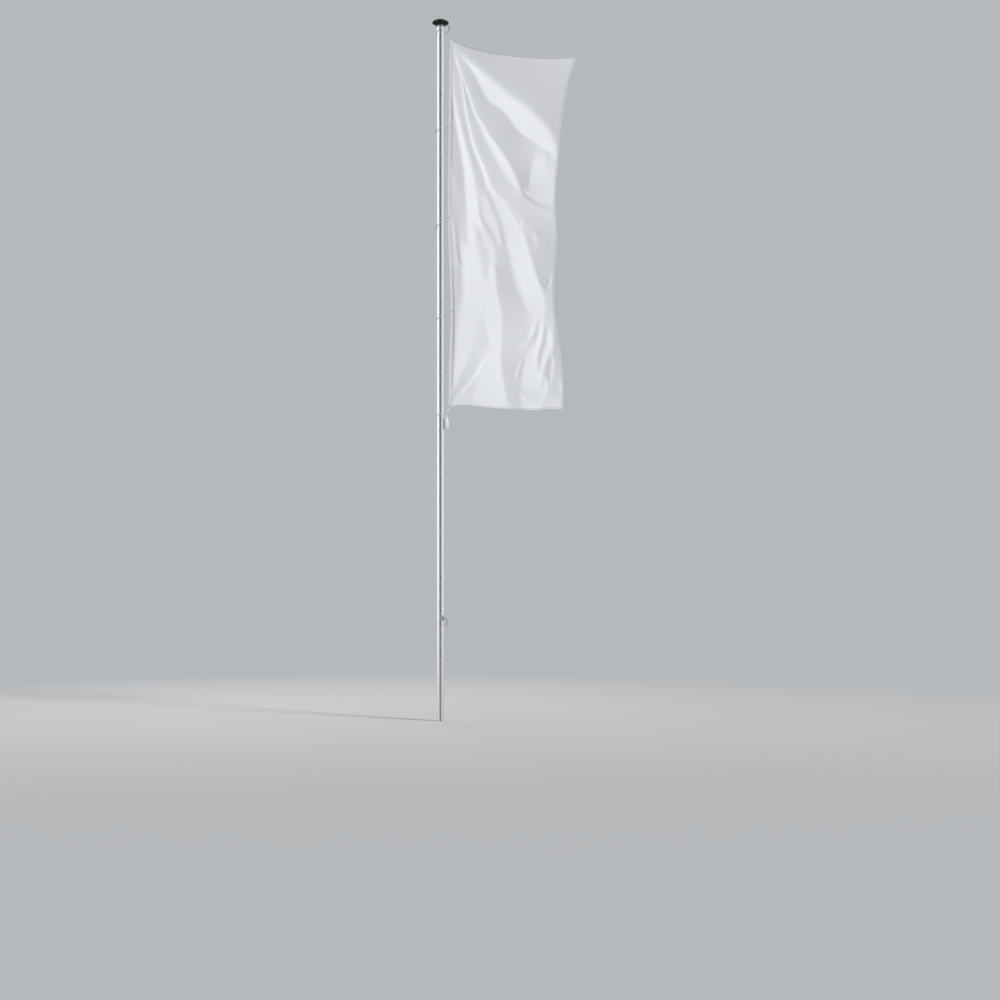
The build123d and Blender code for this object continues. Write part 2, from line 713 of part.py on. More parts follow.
def tail_route():
    """The tail's route: square out of the lock's side, then the hanging points."""
    frame = lock_frame()
    exit_side = LOCK_BODY_WIDTH / 2
    first = frame.from_local_coords(Vector(exit_side, TAIL_EXIT_RISE, TAIL_EXIT_DEPTH))
    second = frame.from_local_coords(
        Vector(exit_side + TAIL_FIRST_RUN, TAIL_EXIT_RISE, TAIL_EXIT_DEPTH)
    )
    hanging = [Vector(x, y, LOCK_HEIGHT + z) for x, y, z in TAIL_HANGING]
    return [first, second] + hanging


def tail_radii():
    """The arc at each corner of the tail, as large as its two runs allow."""
    radii = []
    route = tail_route()
    for before, here, after in zip(route, route[1:], route[2:]):
        run_in = here - before
        run_out = after - here
        turn = math.radians(run_in.get_angle(run_out))
        radii.append(0.45 * min(run_in.length, run_out.length) / math.tan(turn / 2))
    return radii


def halyard_tail():
    """The free tail of the halyard below the lock."""
    path = FilletPolyline(*tail_route(), radius=tail_radii())
    cord = tube_along(path, TAIL_CORD)
    print("tail radii", [round(r, 1) for r in tail_radii()], "length", round(path.length, 1))
    section = math.pi * TAIL_CORD**2 / 4
    print("tail volume over section times length", round(cord.volume / (section * path.length), 4))
    return cord


def tail_knot():
    """Stopper knot that closes the end of the tail."""
    before_end, end = tail_route()[-2:]
    direction = (end - before_end).normalized()
    seat = Plane(origin=end, z_dir=direction)
    knot = Pos(0, 0, TAIL_KNOT_DIAMETER * 0.45) * Sphere(TAIL_KNOT_DIAMETER / 2)
    above = Pos(0, 0, TAIL_KNOT_DIAMETER / 2) * Box(
        TAIL_KNOT_DIAMETER, TAIL_KNOT_DIAMETER, TAIL_KNOT_DIAMETER
    )
    return seat * (knot & above)


def build():
    """Every piece by name."""
    pieces = {
        "mast_tube": mast_tube(),
        "foot_plug": foot_plug(),
        "head_socket": head_socket(),
        "lock_plate": lock_plate(),
        "lock_body": lock_body(),
        "lock_barrel": lock_barrel(),
        "lock_screws": lock_screws(),
        "halyard_tail": halyard_tail(),
        "tail_knot": tail_knot(),
        "bearing_washer": bearing_washer(),
        "cap": cap(),
        "stem": stem(),
        "sheave": sheave(),
        "sheave_axle": axle_pin("sheave"),
        "outlet_roller": outlet_roller(),
        "roller_axle": axle_pin("roller"),
        "head_rope": head_rope(),
        "halyard_end": halyard_end(),
        "flag_weight": flag_weight(),
    }
    sheet = flag_sheet()
    region = tape_region()
    tape = sheet & region
    for fixing in FIXINGS:
        tape -= fixing.eyelet_hole()
        pieces[f"{fixing.name}_eyelet"] = fixing.eyelet_solid()
        pieces[f"{fixing.name}_hook"] = fixing.hook_solid()
        pieces[f"{fixing.name}_ring"] = fixing.ring_solid()
        pieces[f"{fixing.name}_loop"] = fixing.loop_solid()
    pieces["hoist_tape"] = tape
    pieces["flag_cloth"] = sheet - region
    return pieces


os.makedirs("parts", exist_ok=True)
for node, shape in build().items():
    export_step(shape, f"parts/{node}.step")
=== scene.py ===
import bpy
import bmesh
import math
import numpy
from mathutils import Matrix, Vector, noise


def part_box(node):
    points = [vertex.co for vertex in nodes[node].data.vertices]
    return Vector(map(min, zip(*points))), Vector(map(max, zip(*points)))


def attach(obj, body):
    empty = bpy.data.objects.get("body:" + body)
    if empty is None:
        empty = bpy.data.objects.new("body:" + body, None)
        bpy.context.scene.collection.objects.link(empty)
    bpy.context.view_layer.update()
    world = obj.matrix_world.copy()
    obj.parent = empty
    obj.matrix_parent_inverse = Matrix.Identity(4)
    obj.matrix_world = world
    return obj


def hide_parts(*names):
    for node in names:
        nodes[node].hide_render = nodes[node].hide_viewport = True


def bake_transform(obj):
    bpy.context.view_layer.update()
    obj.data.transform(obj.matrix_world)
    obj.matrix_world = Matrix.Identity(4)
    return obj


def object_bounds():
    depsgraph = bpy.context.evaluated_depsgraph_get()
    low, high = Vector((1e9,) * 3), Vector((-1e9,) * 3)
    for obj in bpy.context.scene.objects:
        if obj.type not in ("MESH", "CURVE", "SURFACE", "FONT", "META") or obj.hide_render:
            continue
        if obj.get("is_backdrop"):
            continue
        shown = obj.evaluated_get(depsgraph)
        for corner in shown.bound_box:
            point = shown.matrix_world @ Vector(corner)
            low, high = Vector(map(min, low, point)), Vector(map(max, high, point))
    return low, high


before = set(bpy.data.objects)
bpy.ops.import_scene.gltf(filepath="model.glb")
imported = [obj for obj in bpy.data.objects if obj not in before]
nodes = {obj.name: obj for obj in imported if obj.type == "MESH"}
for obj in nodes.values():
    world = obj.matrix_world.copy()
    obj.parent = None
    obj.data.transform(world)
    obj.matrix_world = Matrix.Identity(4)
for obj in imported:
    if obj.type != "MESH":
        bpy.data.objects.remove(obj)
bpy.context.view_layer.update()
bpy.ops.object.select_all(action="DESELECT")

# The camera stands in front of the mast, a little to the flag's side of it, and looks level.
# The view is shifted up, so that the mast's sides stay parallel.
view_distance = 16.7
eye_height = 1.42
camera_data = bpy.data.cameras.new("camera")
camera_data.lens = 55.9
camera_data.sensor_width = 36.0
camera_data.shift_y = 0.089
camera_data.clip_end = 200.0
camera = bpy.data.objects.new("camera", camera_data)
camera.location = (0.64, -view_distance, eye_height)
camera.rotation_euler = (math.radians(90), 0, 0)
bpy.context.scene.collection.objects.link(camera)
bpy.context.scene.camera = camera


# The free tail of the halyard comes square out of the side of the rope lock and hangs down.
# It is a braided polyester rope of 6 mm, with its end drawn into a stopper knot.
class Wire:
    """One output of a material's nodes, so that sums on it are written as sums."""

    def __init__(self, tree, socket):
        self.tree = tree
        self.socket = socket

    def sum_of(self, operation, *values):
        node = self.tree.nodes.new("ShaderNodeMath")
        node.operation = operation
        for slot, value in zip(node.inputs, values):
            feed(self.tree, slot, value)
        return Wire(self.tree, node.outputs[0])

    def __add__(self, other):
        return self.sum_of("ADD", self, other)

    def __radd__(self, other):
        return self.sum_of("ADD", other, self)

    def __sub__(self, other):
        return self.sum_of("SUBTRACT", self, other)

    def __rsub__(self, other):
        return self.sum_of("SUBTRACT", other, self)

    def __mul__(self, other):
        return self.sum_of("MULTIPLY", self, other)

    def __rmul__(self, other):
        return self.sum_of("MULTIPLY", other, self)

    def __truediv__(self, other):
        return self.sum_of("DIVIDE", self, other)

    def __rtruediv__(self, other):
        return self.sum_of("DIVIDE", other, self)


def feed(tree, slot, value):
    """A wire is linked to the socket, and a plain number or colour is written on it."""
    if isinstance(value, Wire):
        tree.links.new(value.socket, slot)
    else:
        slot.default_value = value


class Finish:
    """A surface finish: one principled shader and the nodes that vary it."""

    def __init__(self, name, **values):
        self.material = bpy.data.materials.new(name)
        self.material.use_nodes = True
        self.tree = self.material.node_tree
        self.shader = self.tree.nodes["Principled BSDF"]
        self.set(**values)

    def set(self, **values):
        for name, value in values.items():
            feed(self.tree, self.shader.inputs[name.replace("_", " ")], value)

    def node(self, kind, settings=None, output=0, **values):
        """Any node: its settings first, then its sockets by name, or s0, s1 by number."""
        node = self.tree.nodes.new("ShaderNode" + kind)
        for name, value in (settings or {}).items():
            setattr(node, name, value)
        for name, value in values.items():
            key = int(name[1:]) if name[0] == "s" and name[1:].isdigit() else name
            feed(self.tree, node.inputs[key], value)
        return Wire(self.tree, node.outputs[output])

    def place(self, stretch=(1, 1, 1)):
        """The point on the object in metres, stretched for patterns that run one way."""
        point = self.node("TexCoord", output="Object")
        if stretch == (1, 1, 1):
            return point
        return self.node("VectorMath", {"operation": "MULTIPLY"}, s0=point, s1=stretch)

    def sheet_place(self, stretch=(1, 1, 1)):
        """The point on the cloth's own flat cut, in metres."""
        point = self.node("UVMap", {"uv_map": "cut"})
        return self.node("VectorMath", {"operation": "MULTIPLY"}, s0=point, s1=stretch)

    def parts(self, point):
        """The x, y and z of a point, each as a wire."""
        node = self.node("SeparateXYZ", s0=point).socket.node
        return [Wire(self.tree, output) for output in node.outputs]

    def cloud(self, where, scale, detail=2.0, roughness=0.5):
        return self.node("TexNoise", Vector=where, Scale=scale, Detail=detail, Roughness=roughness)

    def between(self, factor, low, high):
        """A number that goes from low to high as the factor goes from 0 to 1."""
        return low + factor * (high - low)

    def blend(self, factor, first, second):
        """A colour between two colours, each a wire or its red, green and blue."""
        first, second = (c if isinstance(c, Wire) else (*c, 1) for c in (first, second))
        return self.node("Mix", {"data_type": "RGBA"}, output=2, s0=factor, s6=first, s7=second)

    def vary(self, share, first, second, roughness=None):
        """The colour, and the roughness if given, go from the first to the second by a share."""
        self.set(Base_Color=self.blend(share, first, second))
        if roughness:
            self.set(Roughness=self.between(share, *roughness))

    def stops(self, value, *stops):
        """A ramp through the given (position, grey) stops."""
        node = self.tree.nodes.new("ShaderNodeValToRGB")
        ramp = node.color_ramp
        ramp.elements[0].position, ramp.elements[1].position = stops[0][0], stops[-1][0]
        ramp.elements[0].color = (*(stops[0][1],) * 3, 1)
        ramp.elements[1].color = (*(stops[-1][1],) * 3, 1)
        for position, grey in stops[1:-1]:
            ramp.elements.new(position).color = (grey, grey, grey, 1)
        feed(self.tree, node.inputs[0], value)
        return Wire(self.tree, node.outputs[0])

    def relief(self, height, depth, strength=1.0):
        """Raises the surface by the height, in metres of depth."""
        bump = self.node("Bump", Height=height, Distance=depth, Strength=strength)
        self.set(Normal=bump)


def paint(thing, finish):
    """Gives every slot of a piece the finish."""
    if not thing.material_slots:
        thing.data.materials.append(finish.material)
    for slot in thing.material_slots:
        slot.material = finish.material
    return thing


def new_piece(name, vertices, faces):
    """A smooth mesh piece from its points and faces."""
    mesh = bpy.data.meshes.new(name)
    mesh.from_pydata([tuple(v) for v in vertices], [], faces)
    mesh.update()
    piece = bpy.data.objects.new(name, mesh)
    bpy.context.scene.collection.objects.link(piece)
    mesh.polygons.foreach_set("use_smooth", [True] * len(mesh.polygons))
    return piece


def travelled_along(line):
    """The length of a line up to each of its points."""
    lengths = numpy.linalg.norm(numpy.diff(line, axis=0), axis=1)
    return numpy.concatenate([[0], numpy.cumsum(lengths)])


def spaced(line, travelled, count, closed=False):
    """As many points as asked, at even distances along a line."""
    wanted = numpy.linspace(0, travelled[-1], count, endpoint=not closed)
    return numpy.stack([numpy.interp(wanted, travelled, column) for column in line.T], axis=1)


def evenly(points, step, closed):
    """The same line as points that lie a step apart."""
    line = numpy.array([tuple(p) for p in points], float)
    if closed:
        line = numpy.vstack([line, line[:1]])
    travelled = travelled_along(line)
    count = max(4, round(travelled[-1] / step))
    return spaced(line, travelled, count if closed else count + 1, closed)


def spline_points(route, name):
    """The points of the smooth curve that has the route as its control points."""
    curve = bpy.data.curves.new(name, "CURVE")
    curve.dimensions = "3D"
    curve.resolution_u = 24
    spline = curve.splines.new("NURBS")
    spline.points.add(len(route) - 1)
    for point, place in zip(spline.points, route):
        point.co = (*place, 1)
    spline.order_u = 3
    spline.use_endpoint_u = True
    holder = bpy.data.objects.new(name, curve)
    bpy.context.scene.collection.objects.link(holder)
    bpy.context.view_layer.update()
    mesh = bpy.data.meshes.new_from_object(holder)
    points = [v.co.copy() for v in mesh.vertices]
    bpy.data.objects.remove(holder)
    bpy.data.curves.remove(curve)
    bpy.data.meshes.remove(mesh)
    return points


def tube_faces(start, count, sides, closed):
    """The faces of a tube whose points stand in rings, from the point with the number start."""
    faces = []
    for k in range(count if closed else count - 1):
        following = (k + 1) % count
        for corner in range(sides):
            beside = (corner + 1) % sides
            faces.append(
                (
                    start + k * sides + corner,
                    start + k * sides + beside,
                    start + following * sides + beside,
                    start + following * sides + corner,
                )
            )
    if not closed:
        faces.append(tuple(start + corner for corner in reversed(range(sides))))
        faces.append(tuple(start + (count - 1) * sides + corner for corner in range(sides)))
    return faces


braid_step = 0.0011
braid_pitch = 4.0
strand_share = 0.185
strand_sides, core_sides = 6, 10


def braid(name, line, diameter, closed=False, strands=8):
    """A braided cord along a line: half of the strands wind one way, half the other."""
    line = evenly(line, braid_step, closed)
    count = len(line)
    if closed:
        ahead = numpy.roll(line, -1, axis=0) - numpy.roll(line, 1, axis=0)
    else:
        ahead = numpy.gradient(line, axis=0)
    ahead /= numpy.linalg.norm(ahead, axis=1)[:, None]
    side = numpy.cross(ahead, (0.31, 0.87, 0.38))
    side /= numpy.linalg.norm(side, axis=1)[:, None]
    up = numpy.cross(ahead, side)
    turns = max(1, round(count * braid_step / (diameter * braid_pitch)))
    thick = diameter * strand_share
    ring = diameter / 2 - thick * 0.75
    vertices, faces = [], []
    for number in range(strands):
        way = 1 if number % 2 else -1
        faces += tube_faces(len(vertices), count, strand_sides, closed)
        for k in range(count):
            share = k / count if closed else k / (count - 1)
            angle = way * share * turns * 2 * math.pi + number * 2 * math.pi / strands
            wave = math.cos(share * turns * strands * math.pi + (0 if number % 2 else math.pi))
            radius = ring + wave * thick * 0.16
            out = math.cos(angle) * side[k] + math.sin(angle) * up[k]
            round_way = -math.sin(angle) * side[k] + math.cos(angle) * up[k]
            middle = line[k] + out * radius
            for corner in range(strand_sides):
                turn = corner * 2 * math.pi / strand_sides
                vertices.append(
                    middle
                    + round_way * math.cos(turn) * thick * 1.25
                    + out * math.sin(turn) * thick * 0.6
                )
    faces += tube_faces(len(vertices), count, core_sides, closed)
    core = ring * 0.98
    for k in range(count):
        for corner in range(core_sides):
            turn = corner * 2 * math.pi / core_sides
            vertices.append(
                line[k] + (math.cos(turn) * side[k] + math.sin(turn) * up[k]) * core
            )
    piece = new_piece(name, vertices, faces)
    bm = bmesh.new()
    bm.from_mesh(piece.data)
    bmesh.ops.recalc_face_normals(bm, faces=bm.faces)
    bm.to_mesh(piece.data)
    bm.free()
    return piece


def rope_finish(name, colour, dirt):
    """Polyester yarn: fine filaments along the strands, a little dirt between them."""
    finish = Finish(name, Roughness=0.72)
    where = finish.place()
    patches = finish.cloud(where, 55.0, 3.0)
    yarn = finish.cloud(where, 2600.0, 2.0)
    finish.vary(patches * 0.6 + yarn * 0.25, colour, dirt)
    finish.relief(yarn, 0.0002, 0.6)
    return finish


rope_thick = 0.006
halyard_finish = rope_finish("halyard_rope", (0.12, 0.125, 0.12), (0.06, 0.06, 0.058))
tail_route = [
    (0.043133, -0.024749, 1.109),
    (0.054447, -0.013435, 1.109),
    (0.0660, -0.0090, 1.0990),
    (0.0715, -0.0090, 1.0770),
    (0.0680, -0.0110, 1.0520),
    (0.0615, -0.0140, 1.0270),
]
tail_line = spline_points(tail_route, "tail_line")
tail = paint(braid("rope_tail", tail_line, rope_thick), halyard_finish)
knot_finish = rope_finish("knot_rope", (0.62, 0.62, 0.60), (0.30, 0.30, 0.28))
knot_seat = Vector(tail_route[-1])
knot_way = (Vector(tail_route[-1]) - Vector(tail_route[-2])).normalized()
knot_side = knot_way.cross(Vector((0, 1, 0))).normalized()
knot_front = knot_way.cross(knot_side)
knot_points = 220
knot_turns = 2.6
knot_reach = 0.0042
knot_end = 0.0125
knot_thick = 0.0052
knot_line = []
for number in range(knot_points):
    share = number / (knot_points - 1)
    turn = share * knot_turns * 2 * math.pi
    radius = knot_reach + 0.0006 * math.sin(turn * 1.5)
    knot_line.append(
        knot_seat
        + knot_way * (knot_reach + knot_reach * share)
        + knot_side * radius * math.cos(turn)
        + knot_front * radius * math.sin(turn)
    )
knot_line.append(knot_seat + knot_way * knot_end)
knot = paint(braid("rope_knot", knot_line, knot_thick), knot_finish)
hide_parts("halyard_tail")
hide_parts("tail_knot")
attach(tail, "mast")
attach(knot, "mast")

# The mast is an extruded tube of 80 mm, natural anodised. The die leaves fine lines along it,
# rain leaves faint runs, and the inside of the groove is duller.
tube_radius = 0.040
tube_finish = Finish("anodised_tube", Metallic=1.0)
tube_x, tube_y = tube_finish.parts(tube_finish.place())[:2]
from_axis = (tube_x * tube_x + tube_y * tube_y) / tube_radius**2
in_front = tube_finish.stops(tube_y / -tube_radius, (0.40, 0.0), (0.45, 1.0))
in_groove = tube_finish.stops(from_axis, (0.930, 1.0), (0.955, 0.0)) * in_front
die_lines = tube_finish.cloud(tube_finish.place((1, 1, 0.0004)), 900.0, 2.0)
rain_runs = tube_finish.cloud(tube_finish.place((1, 1, 0.03)), 60.0, 3.0, 0.6)
handling = tube_finish.cloud(tube_finish.place(), 6.0, 4.0, 0.6)
tube_bright = tube_finish.blend(
    rain_runs * 0.7 + handling * 0.3, (0.90, 0.91, 0.92), (0.76, 0.77, 0.78)
)
tube_finish.set(
    Base_Color=tube_finish.blend(in_groove, tube_bright, (0.80, 0.80, 0.79)),
    Roughness=tube_finish.between(handling * 0.2 + rain_runs * 0.8, 0.23, 0.30) + in_groove * 0.3,
)
tube_finish.relief(die_lines, 0.000006, 0.6)
paint(nodes["mast_tube"], tube_finish)

# Three steel grub screws with hexagon sockets hold the masthead's socket below the tube's top.
# Their heads are sunk 0.65 mm into the tube's wall, which is modelled without their holes.
grub_finish = Finish("grub_steel", Metallic=1.0, Roughness=0.35)
grub_marks = grub_finish.cloud(grub_finish.place(), 420.0, 3.0)
grub_finish.vary(grub_marks, (0.34, 0.34, 0.34), (0.16, 0.16, 0.16))


def apply_modifier(piece, kind, **settings):
    """Changes the piece's mesh by one modifier."""
    bpy.context.view_layer.objects.active = piece
    modifier = piece.modifiers.new(kind.lower(), kind)
    for name, value in settings.items():
        setattr(modifier, name, value)
    bpy.ops.object.modifier_apply(modifier=modifier.name)


def copy_of(model, name, move):
    """A copy of a model with its own mesh, moved by a matrix."""
    piece = model.copy()
    piece.data = model.data.copy()
    piece.data.transform(move)
    piece.name = name
    bpy.context.scene.collection.objects.link(piece)
    return piece


def screw_heads(name, radius, thick, drive, corners, seats):
    """Bevelled round heads with a recess, at places that each face out to a turn of the mast."""
    bpy.ops.object.select_all(action="DESELECT")
    bpy.ops.mesh.primitive_cylinder_add(
        vertices=corners, radius=drive, depth=thick, location=(0, 0, thick / 4)
    )
    recess = bpy.context.object
    if corners == 4:
        recess.rotation_euler = (0, 0, math.radians(45))
        bpy.ops.object.transform_apply(rotation=True)
        recess.scale = (1.4, 0.3, 1.0)
    bpy.ops.mesh.primitive_cylinder_add(vertices=48, radius=radius, depth=thick)
    model = bpy.context.object
    apply_modifier(model, "BEVEL", width=thick * 0.22, segments=3)
    for quarter in range(2 if corners == 4 else 1):
        recess.rotation_euler = (0, 0, quarter * math.pi / 2)
        apply_modifier(model, "BOOLEAN", operation="DIFFERENCE", solver="EXACT", object=recess)
    bpy.data.objects.remove(recess)
    bpy.ops.object.shade_smooth_by_angle(angle=math.radians(35))
    heads = []
    for number, (place, turn) in enumerate(seats):
        outwards = Matrix.Rotation(turn, 4, "Z") @ Matrix.Rotation(math.radians(90), 4, "Y")
        head = copy_of(model, f"{name}_{number}", Matrix.Translation(place) @ outwards)
        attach(head, "mast")
        heads.append(head)
    bpy.data.objects.remove(model)
    return heads


grub_seat, grub_height = 0.0384, 7.452
grub_seats = []
for turn in (90.0, 210.0, 330.0):
    turn = math.radians(turn)
    seat = Vector((grub_seat * math.cos(turn), grub_seat * math.sin(turn), grub_height))
    grub_seats.append((seat, turn))
for grub in screw_heads("grub_screw", 0.0035, 0.0019, 0.0019, 6, grub_seats):
    paint(grub, grub_finish)

# The foot plug, the socket in the tube's top and the lock's saddle plate are aluminium. The
# castings are tumbled, which leaves a fine grain and a patchy sheen.
cast_finish = Finish("cast_fitting", Metallic=0.9)
cast_grain = cast_finish.cloud(cast_finish.place(), 700.0, 3.0)
cast_patch = cast_finish.cloud(cast_finish.place(), 30.0, 3.0)
cast_finish.vary(cast_patch, (0.66, 0.67, 0.68), (0.50, 0.50, 0.50), (0.36, 0.56))
cast_finish.relief(cast_grain, 0.00012, 0.7)
for name in ("foot_plug", "head_socket", "lock_plate"):
    paint(nodes[name], cast_finish)

# The pins, the stem and the lock's barrel and screws are stainless steel, drawn or turned, with
# fine marks and a slight tarnish in patches.
steel_finish = Finish("steel_bright", Metallic=1.0)
steel_marks = steel_finish.cloud(steel_finish.place((1, 1, 0.15)), 1500.0, 2.0)
steel_patch = steel_finish.cloud(steel_finish.place(), 120.0, 3.0)
steel_finish.vary(steel_patch, (0.68, 0.68, 0.67), (0.48, 0.47, 0.46), (0.22, 0.42))
steel_finish.relief(steel_marks, 0.00004, 0.5)
for name in ("stem", "sheave_axle", "roller_axle", "lock_barrel", "lock_screws"):
    paint(nodes[name], steel_finish)

# Two pan-head screws with cross recesses hold the lock's saddle plate to the tube. They are
# stainless steel and stand over and under the housing.
low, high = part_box("lock_screws")
screw_turn = math.radians(-45)
screw_radius, screw_sunk = 0.003, 0.001
screw_seats = []
for height in (low.z + screw_radius, high.z - screw_radius):
    seat = Vector(((low.x + high.x) / 2, (low.y + high.y) / 2, height))
    seat -= Vector((math.cos(screw_turn), math.sin(screw_turn), 0)) * screw_sunk
    screw_seats.append((seat, screw_turn))
for screw in screw_heads("lock_screw", screw_radius, 0.002, 0.0017, 4, screw_seats):
    paint(screw, steel_finish)
    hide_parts("lock_screws")

# The masthead is a black mushroom cap, moulded in glass-filled nylon. Its skin is faintly
# grained, bleached a little on top, and dulled by dust in patches.
cap_finish = Finish("cap_plastic", Specular_IOR_Level=0.7)
cap_grain = cap_finish.cloud(cap_finish.place(), 1400.0, 3.0, 0.6)
cap_dust = cap_finish.cloud(cap_finish.place(), 28.0, 5.0, 0.6)
cap_up = cap_finish.parts(cap_finish.node("NewGeometry", output="Normal"))[2]
cap_bleach = cap_finish.stops(cap_up, (0.2, 0.0), (0.95, 1.0)) * cap_dust
cap_finish.set(
    Base_Color=cap_finish.blend(cap_bleach, (0.022, 0.031, 0.028), (0.085, 0.098, 0.092)),
    Roughness=cap_finish.between(cap_dust, 0.26, 0.46),
)
cap_finish.relief(cap_grain, 0.00015, 0.7)
paint(nodes["cap"], cap_finish)

# The washer under the cap and the two rope wheels are turned plastic, white and black.
washer_finish = Finish("washer_plastic", Roughness=0.5)
washer_wear = washer_finish.cloud(washer_finish.place(), 90.0, 3.0)
washer_finish.vary(washer_wear, (0.76, 0.76, 0.72), (0.52, 0.51, 0.47))
paint(nodes["bearing_washer"], washer_finish)
wheel_finish = Finish("roller_plastic", Specular_IOR_Level=0.5)
wheel_marks = wheel_finish.cloud(wheel_finish.place((1, 30, 1)), 40.0, 2.0)
wheel_finish.vary(wheel_marks, (0.05, 0.05, 0.05), (0.11, 0.11, 0.11), (0.28, 0.5))
for name in ("sheave", "outlet_roller"):
    paint(nodes[name], wheel_finish)

# The rope lock is a small zinc housing with a grey powder coat, rubbed bright on its edges by
# the rope, with a steel key barrel in its face.
lock_finish = Finish("lock_housing", Specular_IOR_Level=0.5)
lock_grain = lock_finish.cloud(lock_finish.place(), 1200.0, 3.0)
lock_rub = lock_finish.stops(
    lock_finish.node("NewGeometry", output="Pointiness"), (0.49, 0.0), (0.56, 1.0)
)
lock_finish.set(
    Base_Color=lock_finish.blend(lock_rub * 0.8, (0.16, 0.17, 0.18), (0.42, 0.42, 0.42)),
    Roughness=lock_finish.between(lock_grain, 0.38, 0.6),
)
lock_finish.relief(lock_grain, 0.0001, 0.6)
paint(nodes["lock_body"], lock_finish)

# The rope inside the masthead is the same braided halyard. From the outlet roller it drops to
# the flag's top ring, and ends there in a spliced eye. Hoisting pulls this end in.
paint(nodes["head_rope"], halyard_finish)
rope_low, rope_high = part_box("halyard_end")
ring_low, ring_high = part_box("top_ring")
eye_x = (ring_low.x + ring_high.x) / 2
eye_foot = rope_low.z + 0.003
outlet_reach = 0.081
outlet = Vector((outlet_reach, 0, rope_high.z))
eye_points = 72
eye_wide, eye_high = 0.0066, 0.0086
eye_top = Vector((eye_x, 0, eye_foot + 2 * eye_high))
eye_line = []
for number in range(eye_points):
    turn = number / eye_points * 2 * math.pi
    height = eye_foot + eye_high - eye_high * math.cos(turn)
    eye_line.append((eye_x, eye_wide * math.sin(turn), height))
rope_eye = paint(braid("halyard_eye", eye_line, rope_thick, closed=True), halyard_finish)
lead_line = [outlet, (outlet + eye_top) / 2, eye_top]
rope_lead = paint(braid("halyard_lead", lead_line, rope_thick), halyard_finish)
splice_foot = Vector((eye_x, 0, eye_foot + 0.0150))
splice_thick = 0.0082
splice_line = [splice_foot, splice_foot.lerp(outlet, 0.35)]
splice = paint(braid("halyard_splice", splice_line, splice_thick, strands=6), halyard_finish)
for piece in (rope_eye, rope_lead, splice):
    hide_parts("halyard_end")
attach(rope_eye, "flag_set")
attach(splice, "flag_set")
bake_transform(rope_lead)

# The flag is one piece of satin-knit polyester, cut 1.5 m wide and 4 m high. Wind and its own
# weight draw folds from the upper hoist corner, and hems run round its three free edges.
def smooth_line(points, count):
    """A smooth line through points, as many points as asked, evenly along it."""
    points = numpy.array(points, float)
    padded = numpy.vstack([2 * points[0] - points[1], points, 2 * points[-1] - points[-2]])
    out = []
    for a, b, c, d in zip(padded, padded[1:], padded[2:], padded[3:]):
        for share in numpy.linspace(0, 1, 24, endpoint=False):
            out.append(
                0.5
                * (
                    2 * b
                    + (c - a) * share
                    + (2 * a - 5 * b + 4 * c - d) * share**2
                    + (3 * b - a - 3 * c + d) * share**3
                )
            )
    out.append(points[-1])
    out = numpy.array(out)
    return spaced(out, travelled_along(out[:, :2]), count)


hoist_edge = [
    (0.108, 7.357), (0.096, 7.15), (0.0925, 6.85), (0.089, 6.42), (0.085, 6.15), (0.082, 5.70),
    (0.082, 5.40), (0.088, 5.10), (0.099, 4.78), (0.1075, 4.50), (0.104, 4.12), (0.091, 3.79),
    (0.088, 3.41), (0.094, 3.374),
]
fly_edge = [
    (1.462, 7.134), (1.413, 6.998), (1.360, 6.817), (1.323, 6.606), (1.285, 6.319),
    (1.262, 6.017), (1.239, 5.791), (1.231, 5.565), (1.244, 5.306), (1.244, 5.059),
    (1.222, 4.780), (1.218, 4.532), (1.229, 4.352), (1.268, 4.120), (1.299, 3.874),
    (1.315, 3.627), (1.313, 3.347),
]
top_edge = [
    (0.108, 7.357), (0.160, 7.322), (0.228, 7.291), (0.349, 7.241), (0.530, 7.195),
    (0.771, 7.161), (1.043, 7.133), (1.224, 7.127), (1.462, 7.134),
]
bottom_edge = [
    (0.094, 3.374), (0.223, 3.396), (0.486, 3.376), (0.716, 3.360), (1.013, 3.347),
    (1.177, 3.361), (1.313, 3.347),
]


def edge_point(edge, share):
    """Points at shares of an edge's length."""
    travelled = numpy.linspace(0, 1, len(edge))
    return numpy.stack([numpy.interp(share, travelled, edge[:, k]) for k in range(2)], axis=-1)


hoist_edge = smooth_line(hoist_edge, 400)
fly_edge = smooth_line(fly_edge, 400)
top_edge = smooth_line(top_edge, 300)
bottom_edge = smooth_line(bottom_edge, 300)


def flat_place(u, v):
    """Where a point of the flat cut is seen: u from hoist to fly, v from top to bottom."""
    u, v = numpy.asarray(u, float), numpy.asarray(v, float)
    left, right = edge_point(hoist_edge, v), edge_point(fly_edge, v)
    top, bottom = edge_point(top_edge, u), edge_point(bottom_edge, u)
    uu, vv = u[..., None], v[..., None]
    corners = (
        hoist_edge[0] * (1 - uu) * (1 - vv)
        + fly_edge[0] * uu * (1 - vv)
        + hoist_edge[-1] * (1 - uu) * vv
        + fly_edge[-1] * uu * vv
    )
    return left * (1 - uu) + right * uu + top * (1 - vv) + bottom * vv - corners


